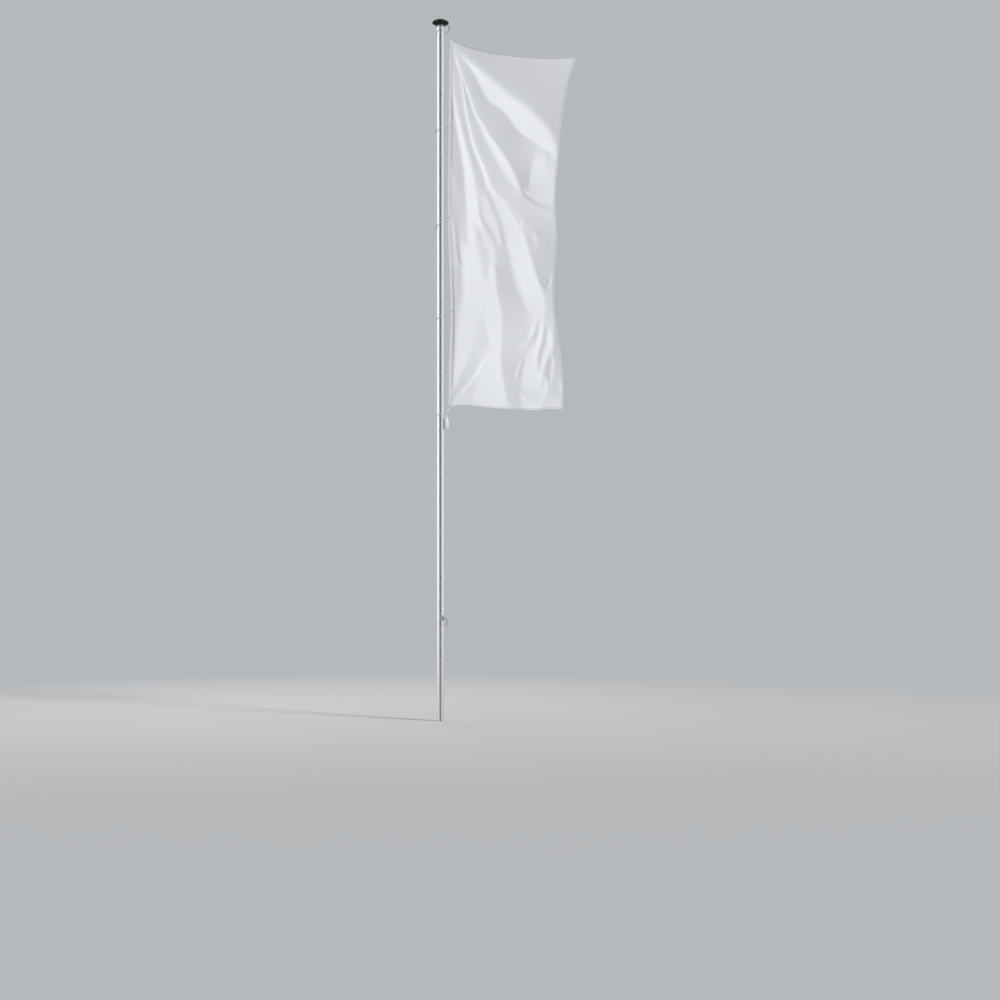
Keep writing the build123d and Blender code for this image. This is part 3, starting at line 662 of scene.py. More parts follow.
# The lines along which the cloth folds, as they lie on the flag's upright plane: how soft the
# fold is, in metres, then points with how far the cloth stands out to the front there, in mm.
fold_lines = [
    # the hoist edge lies flat
    (0.011, [(0.098, 7.366, 0), (0.091, 7.107, 0), (0.089, 6.409, 0), (0.083, 5.387, 0),
      (0.096, 4.527, 0), (0.091, 3.667, 0), (0.096, 3.376, 0)]),
    # upper edge, which stands out towards the flying corner
    (0.022, [(0.107, 7.355, 0), (0.156, 7.312, 4), (0.231, 7.284, 9), (0.349, 7.237, 14),
      (0.532, 7.194, 20), (0.769, 7.161, 26), (1.038, 7.132, 31), (1.220, 7.126, 35),
      (1.468, 7.140, 40)]),
    # flying edge
    (0.022, [(1.468, 7.140, 40), (1.414, 6.979, 30), (1.360, 6.785, 14), (1.312, 6.570, -4),
      (1.269, 6.355, -20), (1.247, 6.183, -26), (1.237, 6.032, -24), (1.231, 5.871, -23),
      (1.220, 5.656, -20), (1.220, 5.473, -12), (1.237, 5.172, 0), (1.247, 4.936, -3),
      (1.238, 4.796, -12), (1.227, 4.710, -25), (1.220, 4.473, -29), (1.226, 4.312, -28),
      (1.258, 4.097, -20), (1.290, 3.882, -12), (1.312, 3.667, -8), (1.316, 3.548, -13),
      (1.317, 3.376, -12)]),
    # lower edge
    (0.016, [(0.096, 3.376, 0), (0.188, 3.393, 2), (0.274, 3.382, 3), (0.349, 3.371, 3),
      (0.511, 3.360, -10), (0.672, 3.366, -23), (0.737, 3.366, -25), (0.812, 3.361, -18),
      (0.887, 3.355, -8), (0.995, 3.349, -11), (1.070, 3.349, -18), (1.156, 3.355, -14),
      (1.231, 3.360, -12), (1.317, 3.355, -12)]),
    # valley under the spread upper corner
    (0.028, [(0.121, 7.335, 0), (0.220, 7.188, -4), (0.317, 7.097, -10), (0.452, 6.989, -18),
      (0.586, 6.882, -25), (0.720, 6.758, -31), (0.855, 6.671, -36), (0.989, 6.570, -39),
      (1.070, 6.489, -40), (1.151, 6.398, -38), (1.215, 6.280, -34), (1.247, 6.183, -28)]),
    # crest of the broad band
    (0.009, [(0.121, 7.328, 0), (0.251, 7.134, 2), (0.328, 7.013, 6), (0.412, 6.866, 11),
      (0.466, 6.744, 13), (0.532, 6.651, 14), (0.640, 6.583, 15), (0.720, 6.505, 16),
      (0.801, 6.382, 16), (0.882, 6.301, 13), (0.989, 6.237, 6), (1.097, 6.153, -2),
      (1.177, 6.124, -12), (1.231, 6.064, -20)]),
    # foot of the band's dark flank
    (0.022, [(0.129, 7.290, 0), (0.242, 7.054, 0), (0.301, 6.893, 0), (0.371, 6.753, 1),
      (0.435, 6.624, 2)]),
    # crest of the first thin fold
    (0.006, [(0.119, 7.312, 0), (0.154, 7.161, 3), (0.204, 7.000, 4), (0.259, 6.828, 5),
      (0.312, 6.677, 5), (0.366, 6.516, 4), (0.430, 6.387, 3)]),
    # valley beside the first thin fold
    (0.009, [(0.134, 7.269, 0), (0.173, 7.151, -1), (0.227, 7.000, -2), (0.283, 6.828, -2),
      (0.337, 6.677, -3), (0.390, 6.516, -4), (0.452, 6.452, -6)]),
    # crest of the streak below the first thin fold
    (0.019, [(0.430, 6.387, 3), (0.473, 6.290, 3), (0.538, 6.151, 1), (0.602, 6.032, -2),
      (0.667, 5.914, -6), (0.747, 5.806, -12), (0.833, 5.710, -20)]),
    # valley at the streak's sharp side
    (0.008, [(0.452, 6.452, -6), (0.505, 6.328, -12), (0.575, 6.247, -17), (0.645, 6.140, -22),
      (0.726, 6.021, -26), (0.790, 5.898, -26), (0.844, 5.763, -24), (0.871, 5.683, -24)]),
    # crest of the second thin fold
    (0.006, [(0.115, 7.290, 1), (0.167, 7.067, 4), (0.205, 6.936, 5), (0.231, 6.758, 6),
      (0.257, 6.570, 6), (0.296, 6.368, 6), (0.337, 6.194, 5), (0.403, 6.021, 3),
      (0.457, 5.884, 1), (0.489, 5.753, -3)]),
    # valley beside the second thin fold
    (0.009, [(0.124, 7.258, -1), (0.186, 7.067, -1), (0.227, 6.936, -1), (0.257, 6.758, -1),
      (0.285, 6.570, -2), (0.328, 6.368, -3), (0.375, 6.194, -5), (0.446, 6.021, -9),
      (0.505, 5.884, -13), (0.559, 5.723, -18)]),
    # crest of the band near the hoist
    (0.013, [(0.109, 7.215, 2), (0.115, 7.086, 4), (0.121, 6.763, 8), (0.149, 6.559, 12),
      (0.181, 6.355, 15), (0.216, 6.151, 18), (0.246, 5.952, 20), (0.263, 5.753, 21),
      (0.274, 5.548, 20), (0.285, 5.366, 18), (0.296, 5.172, 14)]),
    # valley of the band near the hoist
    (0.017, [(0.119, 7.107, 0), (0.143, 6.763, 0), (0.180, 6.559, 0), (0.225, 6.355, -1),
      (0.285, 6.151, -3), (0.339, 5.952, -6), (0.382, 5.753, -10), (0.409, 5.548, -13),
      (0.425, 5.419, -14), (0.468, 5.323, -15), (0.521, 5.237, -17), (0.575, 5.118, -21),
      (0.591, 4.979, -24), (0.597, 4.849, -27)]),
    # crest of the lower hoist side
    (0.017, [(0.140, 5.925, 2), (0.167, 5.710, 7), (0.195, 5.516, 12), (0.199, 5.172, 15),
      (0.220, 4.936, 20), (0.242, 4.688, 21), (0.226, 4.527, 19), (0.188, 4.333, 14),
      (0.172, 4.097, 13), (0.156, 3.882, 10), (0.134, 3.613, 6)]),
    # streak by the hoist edge, crest
    (0.009, [(0.109, 5.441, 2), (0.132, 5.258, 4), (0.156, 5.064, 5), (0.188, 4.893, 8)]),
    # streak by the hoist edge, valley
    (0.010, [(0.121, 5.441, 0), (0.149, 5.258, 1), (0.177, 5.064, 4), (0.210, 4.893, 9)]),
    # central valley
    (0.010, [(0.591, 4.903, -32), (0.602, 4.634, -37), (0.640, 4.473, -38), (0.664, 4.301, -39),
      (0.661, 4.097, -38), (0.650, 3.962, -36), (0.653, 3.807, -34), (0.683, 3.634, -33),
      (0.715, 3.462, -30), (0.726, 3.376, -26)]),
    # grey patch on the bright hoist side, left
    (0.022, [(0.371, 5.258, -10), (0.393, 5.086, -13), (0.435, 4.936, -17),
      (0.457, 4.785, -17)]),
    # grey patch on the bright hoist side, crest
    (0.010, [(0.409, 5.366, -6), (0.457, 5.172, -10), (0.532, 5.000, -16), (0.521, 4.893, -16),
      (0.500, 4.774, -15)]),
    # crest above the slanting dark fold
    (0.011, [(0.430, 5.602, -8), (0.446, 5.473, -7), (0.468, 5.398, -7), (0.516, 5.323, -8),
      (0.570, 5.237, -11), (0.624, 5.129, -17)]),
    # valley right of it
    (0.013, [(0.500, 5.656, -15), (0.543, 5.538, -15), (0.591, 5.409, -15), (0.640, 5.258, -18),
      (0.672, 5.129, -20)]),
    # crest of the right band, soft
    (0.024, [(0.521, 5.710, -6), (0.575, 5.570, -7), (0.640, 5.430, -8), (0.677, 5.280, -9),
      (0.704, 5.118, -9), (0.758, 4.936, -6), (0.823, 4.688, -7), (0.898, 4.495, -12),
      (0.973, 4.355, -20)]),
    # valley at the right band's sharp side
    (0.008, [(0.559, 5.723, -18), (0.629, 5.667, -20), (0.720, 5.575, -24), (0.780, 5.452, -30),
      (0.855, 5.323, -36), (0.909, 5.226, -39), (0.973, 5.000, -42), (1.027, 4.806, -43),
      (1.081, 4.677, -43), (1.124, 4.527, -39), (1.126, 4.398, -36), (1.115, 4.290, -33)]),
    # crest of the pleat
    (0.010, [(1.070, 6.140, 0), (1.016, 6.075, 3), (0.984, 5.989, 5), (0.967, 5.882, 5),
      (0.956, 5.796, 2), (0.939, 5.699, -14)]),
    # soft foot of the pleat
    (0.017, [(1.134, 6.102, -16), (1.129, 6.011, -18), (1.124, 5.914, -18)]),
    # ledge below the pleat, crest
    (0.008, [(0.898, 5.688, -12), (0.973, 5.624, -12), (1.048, 5.575, -14), (1.134, 5.538, -16),
      (1.210, 5.505, -16)]),
    # ledge below the pleat, foot
    (0.008, [(0.882, 5.661, -20), (0.957, 5.597, -20), (1.038, 5.548, -21), (1.124, 5.511, -21),
      (1.210, 5.479, -20)]),
    # small fold on the right band, crest
    (0.010, [(0.812, 5.430, -28), (0.784, 5.355, -24), (0.799, 5.269, -24)]),
    # small fold on the right band, foot
    (0.010, [(0.840, 5.419, -32), (0.814, 5.344, -29), (0.820, 5.269, -28)]),
    # slanting tuck, crest
    (0.010, [(1.214, 4.796, -12), (1.171, 4.737, -16), (1.134, 4.677, -27)]),
    # slanting tuck, foot
    (0.010, [(1.229, 4.753, -22), (1.190, 4.699, -30), (1.156, 4.640, -38)]),
    # ribbon 1, crest
    (0.010, [(1.016, 4.312, -25), (0.982, 4.247, -20), (0.962, 4.183, -19), (0.924, 4.129, -19),
      (0.881, 4.099, -22)]),
    # ribbon 1, foot
    (0.010, [(1.038, 4.296, -33), (1.014, 4.237, -32), (0.995, 4.161, -31), (0.952, 4.093, -28),
      (0.900, 4.056, -26)]),
    # ribbon 2, crest
    (0.013, [(1.079, 4.312, -29), (1.059, 4.204, -21), (1.025, 4.075, -14), (0.962, 3.989, -11),
      (0.925, 3.914, -9), (0.896, 3.839, -8), (0.876, 3.753, -9), (0.870, 3.613, -9),
      (0.881, 3.548, -9)]),
    # ribbon 2, foot
    (0.008, [(1.113, 4.290, -36), (1.104, 4.183, -34), (1.085, 4.075, -32), (1.053, 3.962, -31),
      (1.046, 3.828, -30), (1.055, 3.699, -28), (1.085, 3.613, -25)]),
    # fold beside ribbon 2, crest
    (0.013, [(1.139, 4.247, -28), (1.147, 4.151, -21), (1.132, 4.043, -18), (1.102, 3.957, -19),
      (1.081, 3.871, -22), (1.068, 3.796, -26)]),
    # fold beside ribbon 2, foot
    (0.011, [(1.214, 4.204, -35), (1.220, 4.097, -35), (1.210, 3.989, -34), (1.162, 3.919, -37),
      (1.130, 3.839, -38), (1.102, 3.742, -38), (1.089, 3.677, -33)]),
    # last fold by the flying edge, crest
    (0.009, [(1.190, 3.925, -26), (1.199, 3.839, -19), (1.184, 3.720, -18),
      (1.165, 3.624, -19)]),
    # last fold by the flying edge, foot
    (0.009, [(1.212, 3.914, -30), (1.220, 3.828, -25), (1.205, 3.710, -24),
      (1.184, 3.613, -23)]),
    # small tuck in the central valley, crest
    (0.010, [(0.896, 3.925, -11), (0.848, 3.876, -13), (0.823, 3.807, -14),
      (0.801, 3.715, -16)]),
    # small tuck in the central valley, foot
    (0.010, [(0.887, 3.871, -16), (0.857, 3.817, -19), (0.840, 3.763, -20),
      (0.825, 3.688, -20)]),
    # corner fold, foot of the dark flank
    (0.017, [(0.119, 3.473, 0), (0.167, 3.613, 1), (0.215, 3.720, -2), (0.289, 3.874, -8),
      (0.359, 4.035, -11), (0.397, 4.183, -12), (0.430, 4.344, -13)]),
    # corner fold, crest
    (0.009, [(0.116, 3.419, 2), (0.144, 3.477, 7), (0.198, 3.531, 13), (0.289, 3.639, 18),
      (0.367, 3.732, 14), (0.428, 3.845, 4), (0.500, 3.936, -9), (0.521, 3.995, -14)]),
    # corner fold, foot
    (0.009, [(0.129, 3.403, 0), (0.172, 3.454, 1), (0.228, 3.505, 2), (0.319, 3.609, 2),
      (0.395, 3.705, -1), (0.455, 3.815, -8), (0.521, 3.905, -17)]),
    # corner fold, second crest
    (0.010, [(0.341, 3.419, 6), (0.349, 3.527, 7), (0.382, 3.615, 4), (0.442, 3.731, -3),
      (0.493, 3.821, -9), (0.532, 3.893, -17)]),
    # dark patch in the right band, foot
    (0.009, [(0.700, 5.086, -13), (0.696, 5.000, -14.5), (0.711, 4.903, -11.5)]),
    # dark patch in the right band, crest
    (0.009, [(0.739, 5.086, -10), (0.754, 5.000, -8.5), (0.752, 4.914, -6)]),
    # second small fold on the right band, crest
    (0.010, [(0.870, 5.409, -34), (0.855, 5.333, -31), (0.840, 5.258, -30)]),
    # second small fold on the right band, foot
    (0.010, [(0.898, 5.398, -38), (0.883, 5.323, -37), (0.863, 5.247, -35)]),
    # leaf on the right panel, crest
    (0.010, [(0.990, 5.269, -36), (1.008, 5.215, -31), (1.010, 5.161, -31),
      (0.990, 5.107, -35)]),
    # leaf on the right panel, foot
    (0.008, [(1.029, 5.258, -34), (1.038, 5.194, -34), (1.031, 5.140, -34),
      (1.012, 5.086, -36)]),
    # second slanting tuck, crest
    (0.010, [(1.141, 4.758, -25), (1.109, 4.710, -32)]),
    # second slanting tuck, foot
    (0.010, [(1.149, 4.726, -29), (1.124, 4.677, -37)]),
    # low fold by the flying edge, crest
    (0.010, [(1.134, 3.699, -29), (1.128, 3.602, -20), (1.104, 3.527, -16),
      (1.048, 3.473, -13)]),
    # low fold by the flying edge, foot
    (0.010, [(1.154, 3.688, -30), (1.152, 3.591, -25), (1.130, 3.500, -22),
      (1.081, 3.430, -21)]),
    # turned hem, crest
    (0.010, [(1.278, 3.624, -6), (1.287, 3.559, -5), (1.296, 3.484, -9)]),
    # bright stroke at the lower edge, crest
    (0.010, [(0.842, 3.548, -14), (0.863, 3.484, -12), (0.887, 3.409, -10)]),
    # bright stroke at the lower edge, foot
    (0.010, [(0.881, 3.538, -17), (0.904, 3.473, -15), (0.926, 3.409, -13)]),
    # grey wedge, crest
    (0.011, [(0.453, 4.333, -14), (0.489, 4.226, -13), (0.519, 4.129, -12),
      (0.517, 4.043, -12)]),
]
relief_left, relief_right = 0.04, 1.50
relief_low, relief_high = 3.30, 7.43
relief_step = 0.0055
skin_rounds = {8: 600, 4: 260, 2: 260, 1: 260}
softening_rounds = (4, 30, 200)


def held_places(step, shape):
    """The cells of a grid that the fold lines cross, with their height and softness."""
    total = numpy.zeros(shape + (2,))
    count = numpy.zeros(shape)
    for soft, line in fold_lines:
        line = numpy.array(line, float)
        length = numpy.linalg.norm(numpy.diff(line[:, :2], axis=0), axis=1).sum()
        line = smooth_line(line, int(length / step * 2.5) + 2)
        column = numpy.rint((line[:, 0] - relief_left) / step).astype(int)
        row = numpy.rint((line[:, 1] - relief_low) / step).astype(int)
        place = (numpy.clip(row, 0, shape[0] - 1), numpy.clip(column, 0, shape[1] - 1))
        numpy.add.at(total, place, numpy.stack([line[:, 2], numpy.full(len(line), soft)], axis=1))
        numpy.add.at(count, place, 1)
    held = count > 0
    total[held] /= count[held][:, None]
    return total, held


def neighbours(field):
    """The mean of each cell's four neighbours."""
    wide = numpy.pad(field, ((1, 1), (1, 1)) + ((0, 0),) * (field.ndim - 2), mode="edge")
    return (wide[:-2, 1:-1] + wide[2:, 1:-1] + wide[1:-1, :-2] + wide[1:-1, 2:]) / 4


def stretched_between():
    """Height and softness all over the cloth, which spans the fold lines like a taut skin."""
    field = None
    for level, rounds in skin_rounds.items():
        step = relief_step * level
        shape = (
            int((relief_high - relief_low) / step) + 1,
            int((relief_right - relief_left) / step) + 1,
        )
        values, held = held_places(step, shape)
        if field is None:
            field = numpy.zeros(shape + (2,)) + values[held].mean(axis=0)
        else:
            rows = numpy.clip(numpy.arange(shape[0]) // 2, 0, field.shape[0] - 1)
            columns = numpy.clip(numpy.arange(shape[1]) // 2, 0, field.shape[1] - 1)
            field = field[rows][:, columns]
        for _ in range(rounds):
            field[held] = values[held]
            field = neighbours(field)
        field[held] = values[held]
    return field[..., 0], field[..., 1]


def softened(field, times):
    """The field after it has been drawn towards its neighbours' mean as many times as asked."""
    for _ in range(times):
        field = field / 2 + neighbours(field) / 2
    return field


def cloth_relief():
    """The height over the cloth's plane in metres, each fold rounded by its own softness."""
    height, soft = stretched_between()
    soft = softened(soft, 40)
    reach = [relief_step * (times / 4) ** 0.5 for times in softening_rounds]
    fine, middle, broad = [softened(height, times) for times in softening_rounds]
    share = numpy.clip((soft - reach[0]) / (reach[1] - reach[0]), 0, 1)
    rounded = fine * (1 - share) + middle * share
    share = numpy.clip((soft - reach[1]) / (reach[2] - reach[1]), 0, 1)
    return (rounded * (1 - share) + broad * share) * 0.001


relief = cloth_relief()


def lift(x, z):
    """How far the cloth stands out to the front at a point of its upright plane, in metres."""
    column = numpy.clip((x - relief_left) / relief_step, 0, relief.shape[1] - 1.001)
    row = numpy.clip((z - relief_low) / relief_step, 0, relief.shape[0] - 1.001)
    left, under = column.astype(int), row.astype(int)
    across, up = column - left, row - under
    return (
        relief[under, left] * (1 - across) * (1 - up)
        + relief[under, left + 1] * across * (1 - up)
        + relief[under + 1, left] * (1 - across) * up
        + relief[under + 1, left + 1] * across * up
    )


flag_width, flag_height = 1.5, 4.0
flat_share, rise_share = 0.024, 0.018


def cloth_place(u, v):
    """The cloth's middle surface in the part's frame for points of its flat cut."""
    flat = flat_place(u, v)
    x, z = flat[..., 0], flat[..., 1]
    out = lift(x, z)
    start = numpy.clip((numpy.asarray(u, float) - flat_share) / rise_share, 0, 1)
    out = out * start * start * (3 - 2 * start)
    return numpy.stack([x, -out, z], axis=-1)


def cloth_grid(name, u_values, v_values, thickness, finish):
    """A thin solid piece of cloth over a part of the flat cut, with the cut as its map."""
    uu, vv = numpy.meshgrid(u_values, v_values)
    points = cloth_place(uu, vv)
    rows, columns = uu.shape
    faces = []
    for row in range(rows - 1):
        for column in range(columns - 1):
            first = row * columns + column
            faces.append((first, first + columns, first + columns + 1, first + 1))
    piece = new_piece(name, points.reshape(-1, 3), faces)
    layer = piece.data.uv_layers.new(name="cut")
    flat = numpy.stack([uu * flag_width, (1 - vv) * flag_height], axis=-1).reshape(-1, 2)
    corner = numpy.zeros(len(piece.data.loops), int)
    piece.data.loops.foreach_get("vertex_index", corner)
    layer.data.foreach_set("uv", flat[corner].ravel())
    bpy.ops.object.select_all(action="DESELECT")
    piece.select_set(True)
    apply_modifier(piece, "SOLIDIFY", thickness=thickness, offset=0.0)
    bpy.ops.object.shade_smooth_by_angle(angle=math.radians(50))
    piece.select_set(False)
    return paint(piece, finish)


flag_finish = Finish("flag_fabric", Specular_IOR_Level=0.3, Sheen_Weight=0.12)
flag_finish.set(Sheen_Roughness=0.4)
knit_columns, knit_rows = (
    flag_finish.node(
        "TexWave", {"wave_type": "BANDS", "bands_direction": direction},
        Vector=flag_finish.sheet_place(), Scale=310.0, Distortion=0.6, Detail=1.0,
    )
    for direction in "XY"
)
creasing = flag_finish.cloud(flag_finish.sheet_place((1, 0.35, 1)), 9.0, 4.0, 0.6)
cloth_patch = flag_finish.cloud(flag_finish.sheet_place(), 1.4, 3.0)
flag_finish.vary(cloth_patch, (0.86, 0.875, 0.90), (0.83, 0.845, 0.875), (0.50, 0.62))
flag_finish.relief(knit_columns * 0.02 + knit_rows * 0.02 + creasing * 0.8, 0.004, 0.35)

cloth_start = 0.018
cloth_thick = 0.0012
cloth = cloth_grid(
    "flag_sheet",
    cloth_start + (1 - cloth_start) * numpy.linspace(0.0, 1.0, 127) ** 1.3,
    numpy.linspace(0.0, 1.0, 380),
    cloth_thick,
    flag_finish,
)
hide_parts("flag_cloth")
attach(cloth, "flag_set")

# The free edges are folded over twice and sewn down with two rows of stitches, so they are
# thicker than the cloth. Each hem has a painted shade line along its seam, and the upper one,
# which turns away from the light, is painted a greyer tone as shade.
stitch_length, stitch_thick = 0.003, 0.0008
# the width of the painted shade line along each seam
seam_shade_width = 0.006


def stitches(finish, across, along, rows):
    """Rows of stitches: 1 on the thread and 0 beside it, at places across the rows."""
    beat = finish.node("Math", {"operation": "PINGPONG"}, s0=along, s1=stitch_length)
    thread = finish.stops(beat / stitch_length, (0.22, 0.0), (0.34, 1.0))
    seen_rows = 0.0
    for row in rows:
        off = finish.node("Math", {"operation": "ABSOLUTE"}, s0=across - row)
        seen_rows = finish.stops(off / stitch_thick, (0.35, 1.0), (0.6, 0.0)) + seen_rows
    return thread * seen_rows


def sewn_finish(name, colour, axis, rows, seam):
    """Folded cloth or webbing, with rows of stitches and a painted shade line along the seam, at
    places on an axis of the cut.
    """
    finish = Finish(name, Specular_IOR_Level=0.3, Roughness=0.6)
    sides = finish.parts(finish.sheet_place())
    thread = stitches(finish, sides[axis], sides[1 - axis], rows)
    weave = finish.cloud(finish.sheet_place((60, 60, 1)), 9.0, 2.0)
    # painted shade: the cloth is darkened in a thin line along the seam
    off = finish.node("Math", {"operation": "ABSOLUTE"}, s0=sides[axis] - seam)
    seam_shade = finish.stops(off / seam_shade_width, (0.4, 1.0), (1.0, 0.0))
    dark = tuple(0.5 * part for part in colour)
    finish.vary(weave * 0.12 + thread * 0.08 + seam_shade * 0.7, colour, dark)
    finish.relief(weave * 0.3 + thread, 0.0006, 0.7)
    return finish


hem_width, hem_thick = 0.020, 0.0022
hem_rows = (0.0025, 0.0175)
fly_rows = [flag_width - row for row in hem_rows]
top_rows = [flag_height - row for row in hem_rows]
fly_seam, top_seam = flag_width - hem_width, flag_height - hem_width
hem_colour = (0.85, 0.865, 0.89)
# the upper hem's greyer colour is painted shade
top_hem_shade_colour = (0.70, 0.71, 0.73)
long_way = numpy.linspace(0.0, 1.0, 420)
cross_way = numpy.linspace(cloth_start, 1.0, 220)
hems = [
    cloth_grid(
        "hem_fly", numpy.linspace(1 - hem_width / flag_width, 1, 4), long_way, hem_thick,
        sewn_finish("hem_fly_fabric", hem_colour, 0, fly_rows, fly_seam),
    ),
    cloth_grid(
        "hem_top", cross_way, numpy.linspace(0, hem_width / flag_height, 4), hem_thick,
        sewn_finish("hem_top_shaded_fabric", top_hem_shade_colour, 1, top_rows, top_seam),
    ),
    cloth_grid(
        "hem_low", cross_way, numpy.linspace(1 - hem_width / flag_height, 1, 4), hem_thick,
        sewn_finish("hem_low_fabric", hem_colour, 1, hem_rows, hem_width),
    ),
]
for hem in hems:
    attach(hem, "flag_set")

# White polyester webbing, 38 mm wide, is sewn over the hoist edge in two rows and carries the
# eyelets, which are punched through it. A painted shade line runs along its inner edge.
webbing_width, webbing_thick = 0.038, 0.0024
webbing_rows = (0.003, webbing_width - 0.003)
punch_radius = 0.0062
webbing = cloth_grid(
    "hoist_webbing", numpy.linspace(0.0, webbing_width / flag_width, 5), long_way, webbing_thick,
    sewn_finish("tape_webbing", (0.80, 0.81, 0.82), 0, webbing_rows, webbing_width),
)
fixing_names = ("top", "upper", "middle", "lower", "bottom")
for name in fixing_names:
    low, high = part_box(name + "_eyelet")
    bpy.ops.object.select_all(action="DESELECT")
    bpy.ops.mesh.primitive_cylinder_add(
        vertices=40, radius=punch_radius, depth=0.02, location=(low + high) / 2,
        rotation=(math.radians(90), 0, 0),
    )
    punch = bpy.context.object
    apply_modifier(webbing, "BOOLEAN", operation="DIFFERENCE", solver="EXACT", object=punch)
    bpy.data.objects.remove(punch)
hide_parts("hoist_tape")
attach(webbing, "flag_set")
hems + [webbing]

# Each fixing is a rolled eyelet, a snap hook moulded in white plastic, a welded steel ring and
# a loop of braided cord that runs round the tube.
hook_finish = Finish("hook_plastic", Roughness=0.35, Specular_IOR_Level=0.5)
hook_patch = hook_finish.cloud(hook_finish.place(), 140.0, 3.0)
hook_finish.vary(hook_patch, (0.92, 0.93, 0.93), (0.80, 0.81, 0.80))
eyelet_finish = Finish("eyelet_steel", Metallic=0.5)
eyelet_wear = eyelet_finish.cloud(eyelet_finish.place(), 260.0, 3.0)
eyelet_finish.vary(eyelet_wear, (0.86, 0.86, 0.85), (0.66, 0.66, 0.65), (0.35, 0.5))
loop_finish = rope_finish("loop_rope", (0.90, 0.90, 0.89), (0.74, 0.74, 0.72))
ring_radius, ring_wire, ring_play = 0.010, 0.004, 0.0003
cord_thick, loop_play = 0.005, 0.004
loop_around = tube_radius + loop_play + cord_thick / 2
loop_gap = 62
pinch_long, pinch_wide = 0.0045, 0.0070
ball_radius = 0.0075
ball_x = -(tube_radius + loop_play + ball_radius)
bpy.ops.object.select_all(action="DESELECT")
bpy.ops.mesh.primitive_uv_sphere_add(segments=32, ring_count=20, radius=ball_radius)
ball_model = bpy.context.object
bpy.ops.object.shade_smooth()
# how much each loop rises with x and with y, from the top fixing down
loop_slopes = ((0.35, -0.8), (0.55, -0.1), (0.7, -0.1), (0.55, -0.1), (0.3, -0.1))
for name, (slope_x, slope_y) in zip(fixing_names, loop_slopes):
    paint(nodes[name + "_eyelet"], eyelet_finish)
    paint(nodes[name + "_ring"], eyelet_finish)
    paint(nodes[name + "_hook"], hook_finish)
    low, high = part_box(name + "_ring")
    lean = math.atan(slope_x)
    inside = ring_radius - ring_wire / 2 - cord_thick / 2 - ring_play - abs(slope_y) * 0.001
    tip = (low + high) / 2 + Vector((-math.cos(lean), 0, -math.sin(lean))) * inside
    loop_line = []
    for number in range(121):
        turn = math.radians(loop_gap + number * (360 - 2 * loop_gap) / 120)
        loop_line.append((loop_around * math.cos(turn), loop_around * math.sin(turn)))
    for number in range(13):
        turn = math.radians(-90 + number * 15)
        x = tip.x - pinch_long + pinch_long * math.cos(turn)
        loop_line.append((x, pinch_wide * math.sin(turn)))
    loop_line = [
        (x, y, tip.z + (x - tip.x) * slope_x + y * slope_y) for x, y in loop_line
    ]
    loop = paint(braid(name + "_cord", loop_line, cord_thick, closed=True), loop_finish)
    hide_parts(name + "_loop")
    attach(loop, "flag_set")
    if name in ("top", "bottom"):
        continue
    ball_place = (ball_x, 0, tip.z + (ball_x - tip.x) * slope_x)
    ball = copy_of(ball_model, name + "_ball", Matrix.Translation(ball_place))
    paint(ball, hook_finish)
    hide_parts(name + "_loop")
    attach(ball, "flag_set")
bpy.data.objects.remove(ball_model)

# The corner weight is a sleeve of coated canvas filled with shot, sewn down one side, gathered
# at its neck and closed flat at its foot. A strap of cord hangs it on the lowest ring.
def squared(share):
    """Flattens a round section, as the filled sleeve lies between its two flat sides."""
    return math.copysign(abs(share) ** 0.65, share)


weight_finish = Finish("weight_fabric", Roughness=0.62, Specular_IOR_Level=0.35)
weave = weight_finish.cloud(weight_finish.place(), 1500.0, 2.0)
weight_dirt = weight_finish.cloud(weight_finish.place(), 45.0, 4.0, 0.6)
weight_finish.vary(weight_dirt, (0.84, 0.85, 0.84), (0.68, 0.68, 0.66))
weight_finish.relief(weave + weight_dirt, 0.0004, 0.6)
weight_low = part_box("flag_weight")[0]
weight_long, weight_wide, weight_deep = 0.150, 0.0228, 0.0148
neck = Vector((0.064, -0.022, weight_low.z + weight_long))
bottom_low, bottom_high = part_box("bottom_ring")
strap_top = Vector(((bottom_low.x + bottom_high.x) / 2, 0, bottom_low.z + 0.0075))
around_count = 64
levels = 60
bag_points = []
profile = [
    (0.0, 0.20), (0.012, 0.24), (0.018, 0.40), (0.030, 0.78), (0.050, 0.93), (0.075, 1.0),
    (0.110, 1.0), (0.132, 0.97), (0.144, 0.90), (0.149, 0.72), (0.150, 0.40),
]
for level in range(levels):
    depth = weight_long * level / (levels - 1)
    share = numpy.interp(depth, [p[0] for p in profile], [p[1] for p in profile])
    flatness = numpy.interp(depth, [0, 0.11, 0.149, 0.15], [1.0, 1.0, 0.55, 0.3])
    for number in range(around_count):
        turn = number / around_count * 2 * math.pi
        gathers = 1 + 0.10 * math.exp(-depth / 0.018) * math.cos(turn * 9)
        sag = 1 + 0.018 * noise.noise(Vector((math.cos(turn) * 2, math.sin(turn) * 2, depth * 60)))
        seam = 1 - 0.06 * math.exp(-(((turn - 4.4) / 0.09) ** 2))
        reach = share * gathers * sag * seam
        bag_points.append(
            (
                neck.x + weight_wide * reach * squared(math.cos(turn)),
                neck.y + weight_deep * reach * flatness * squared(math.sin(turn)),
                neck.z - depth,
            )
        )
bag_faces = []
for level in range(levels - 1):
    upper, under = level * around_count, (level + 1) * around_count
    for number in range(around_count):
        beside = (number + 1) % around_count
        bag_faces.append((upper + number, under + number, under + beside, upper + beside))
bag_faces.append(tuple(reversed(range(around_count))))
bag_faces.append(tuple((levels - 1) * around_count + k for k in range(around_count)))
bag = paint(new_piece("weight_bag", bag_points, bag_faces), weight_finish)
strap_points = 60
strap_half = 0.0075
strap_way = Vector((0.35, 0.94, 0)).normalized()
strap_line = []
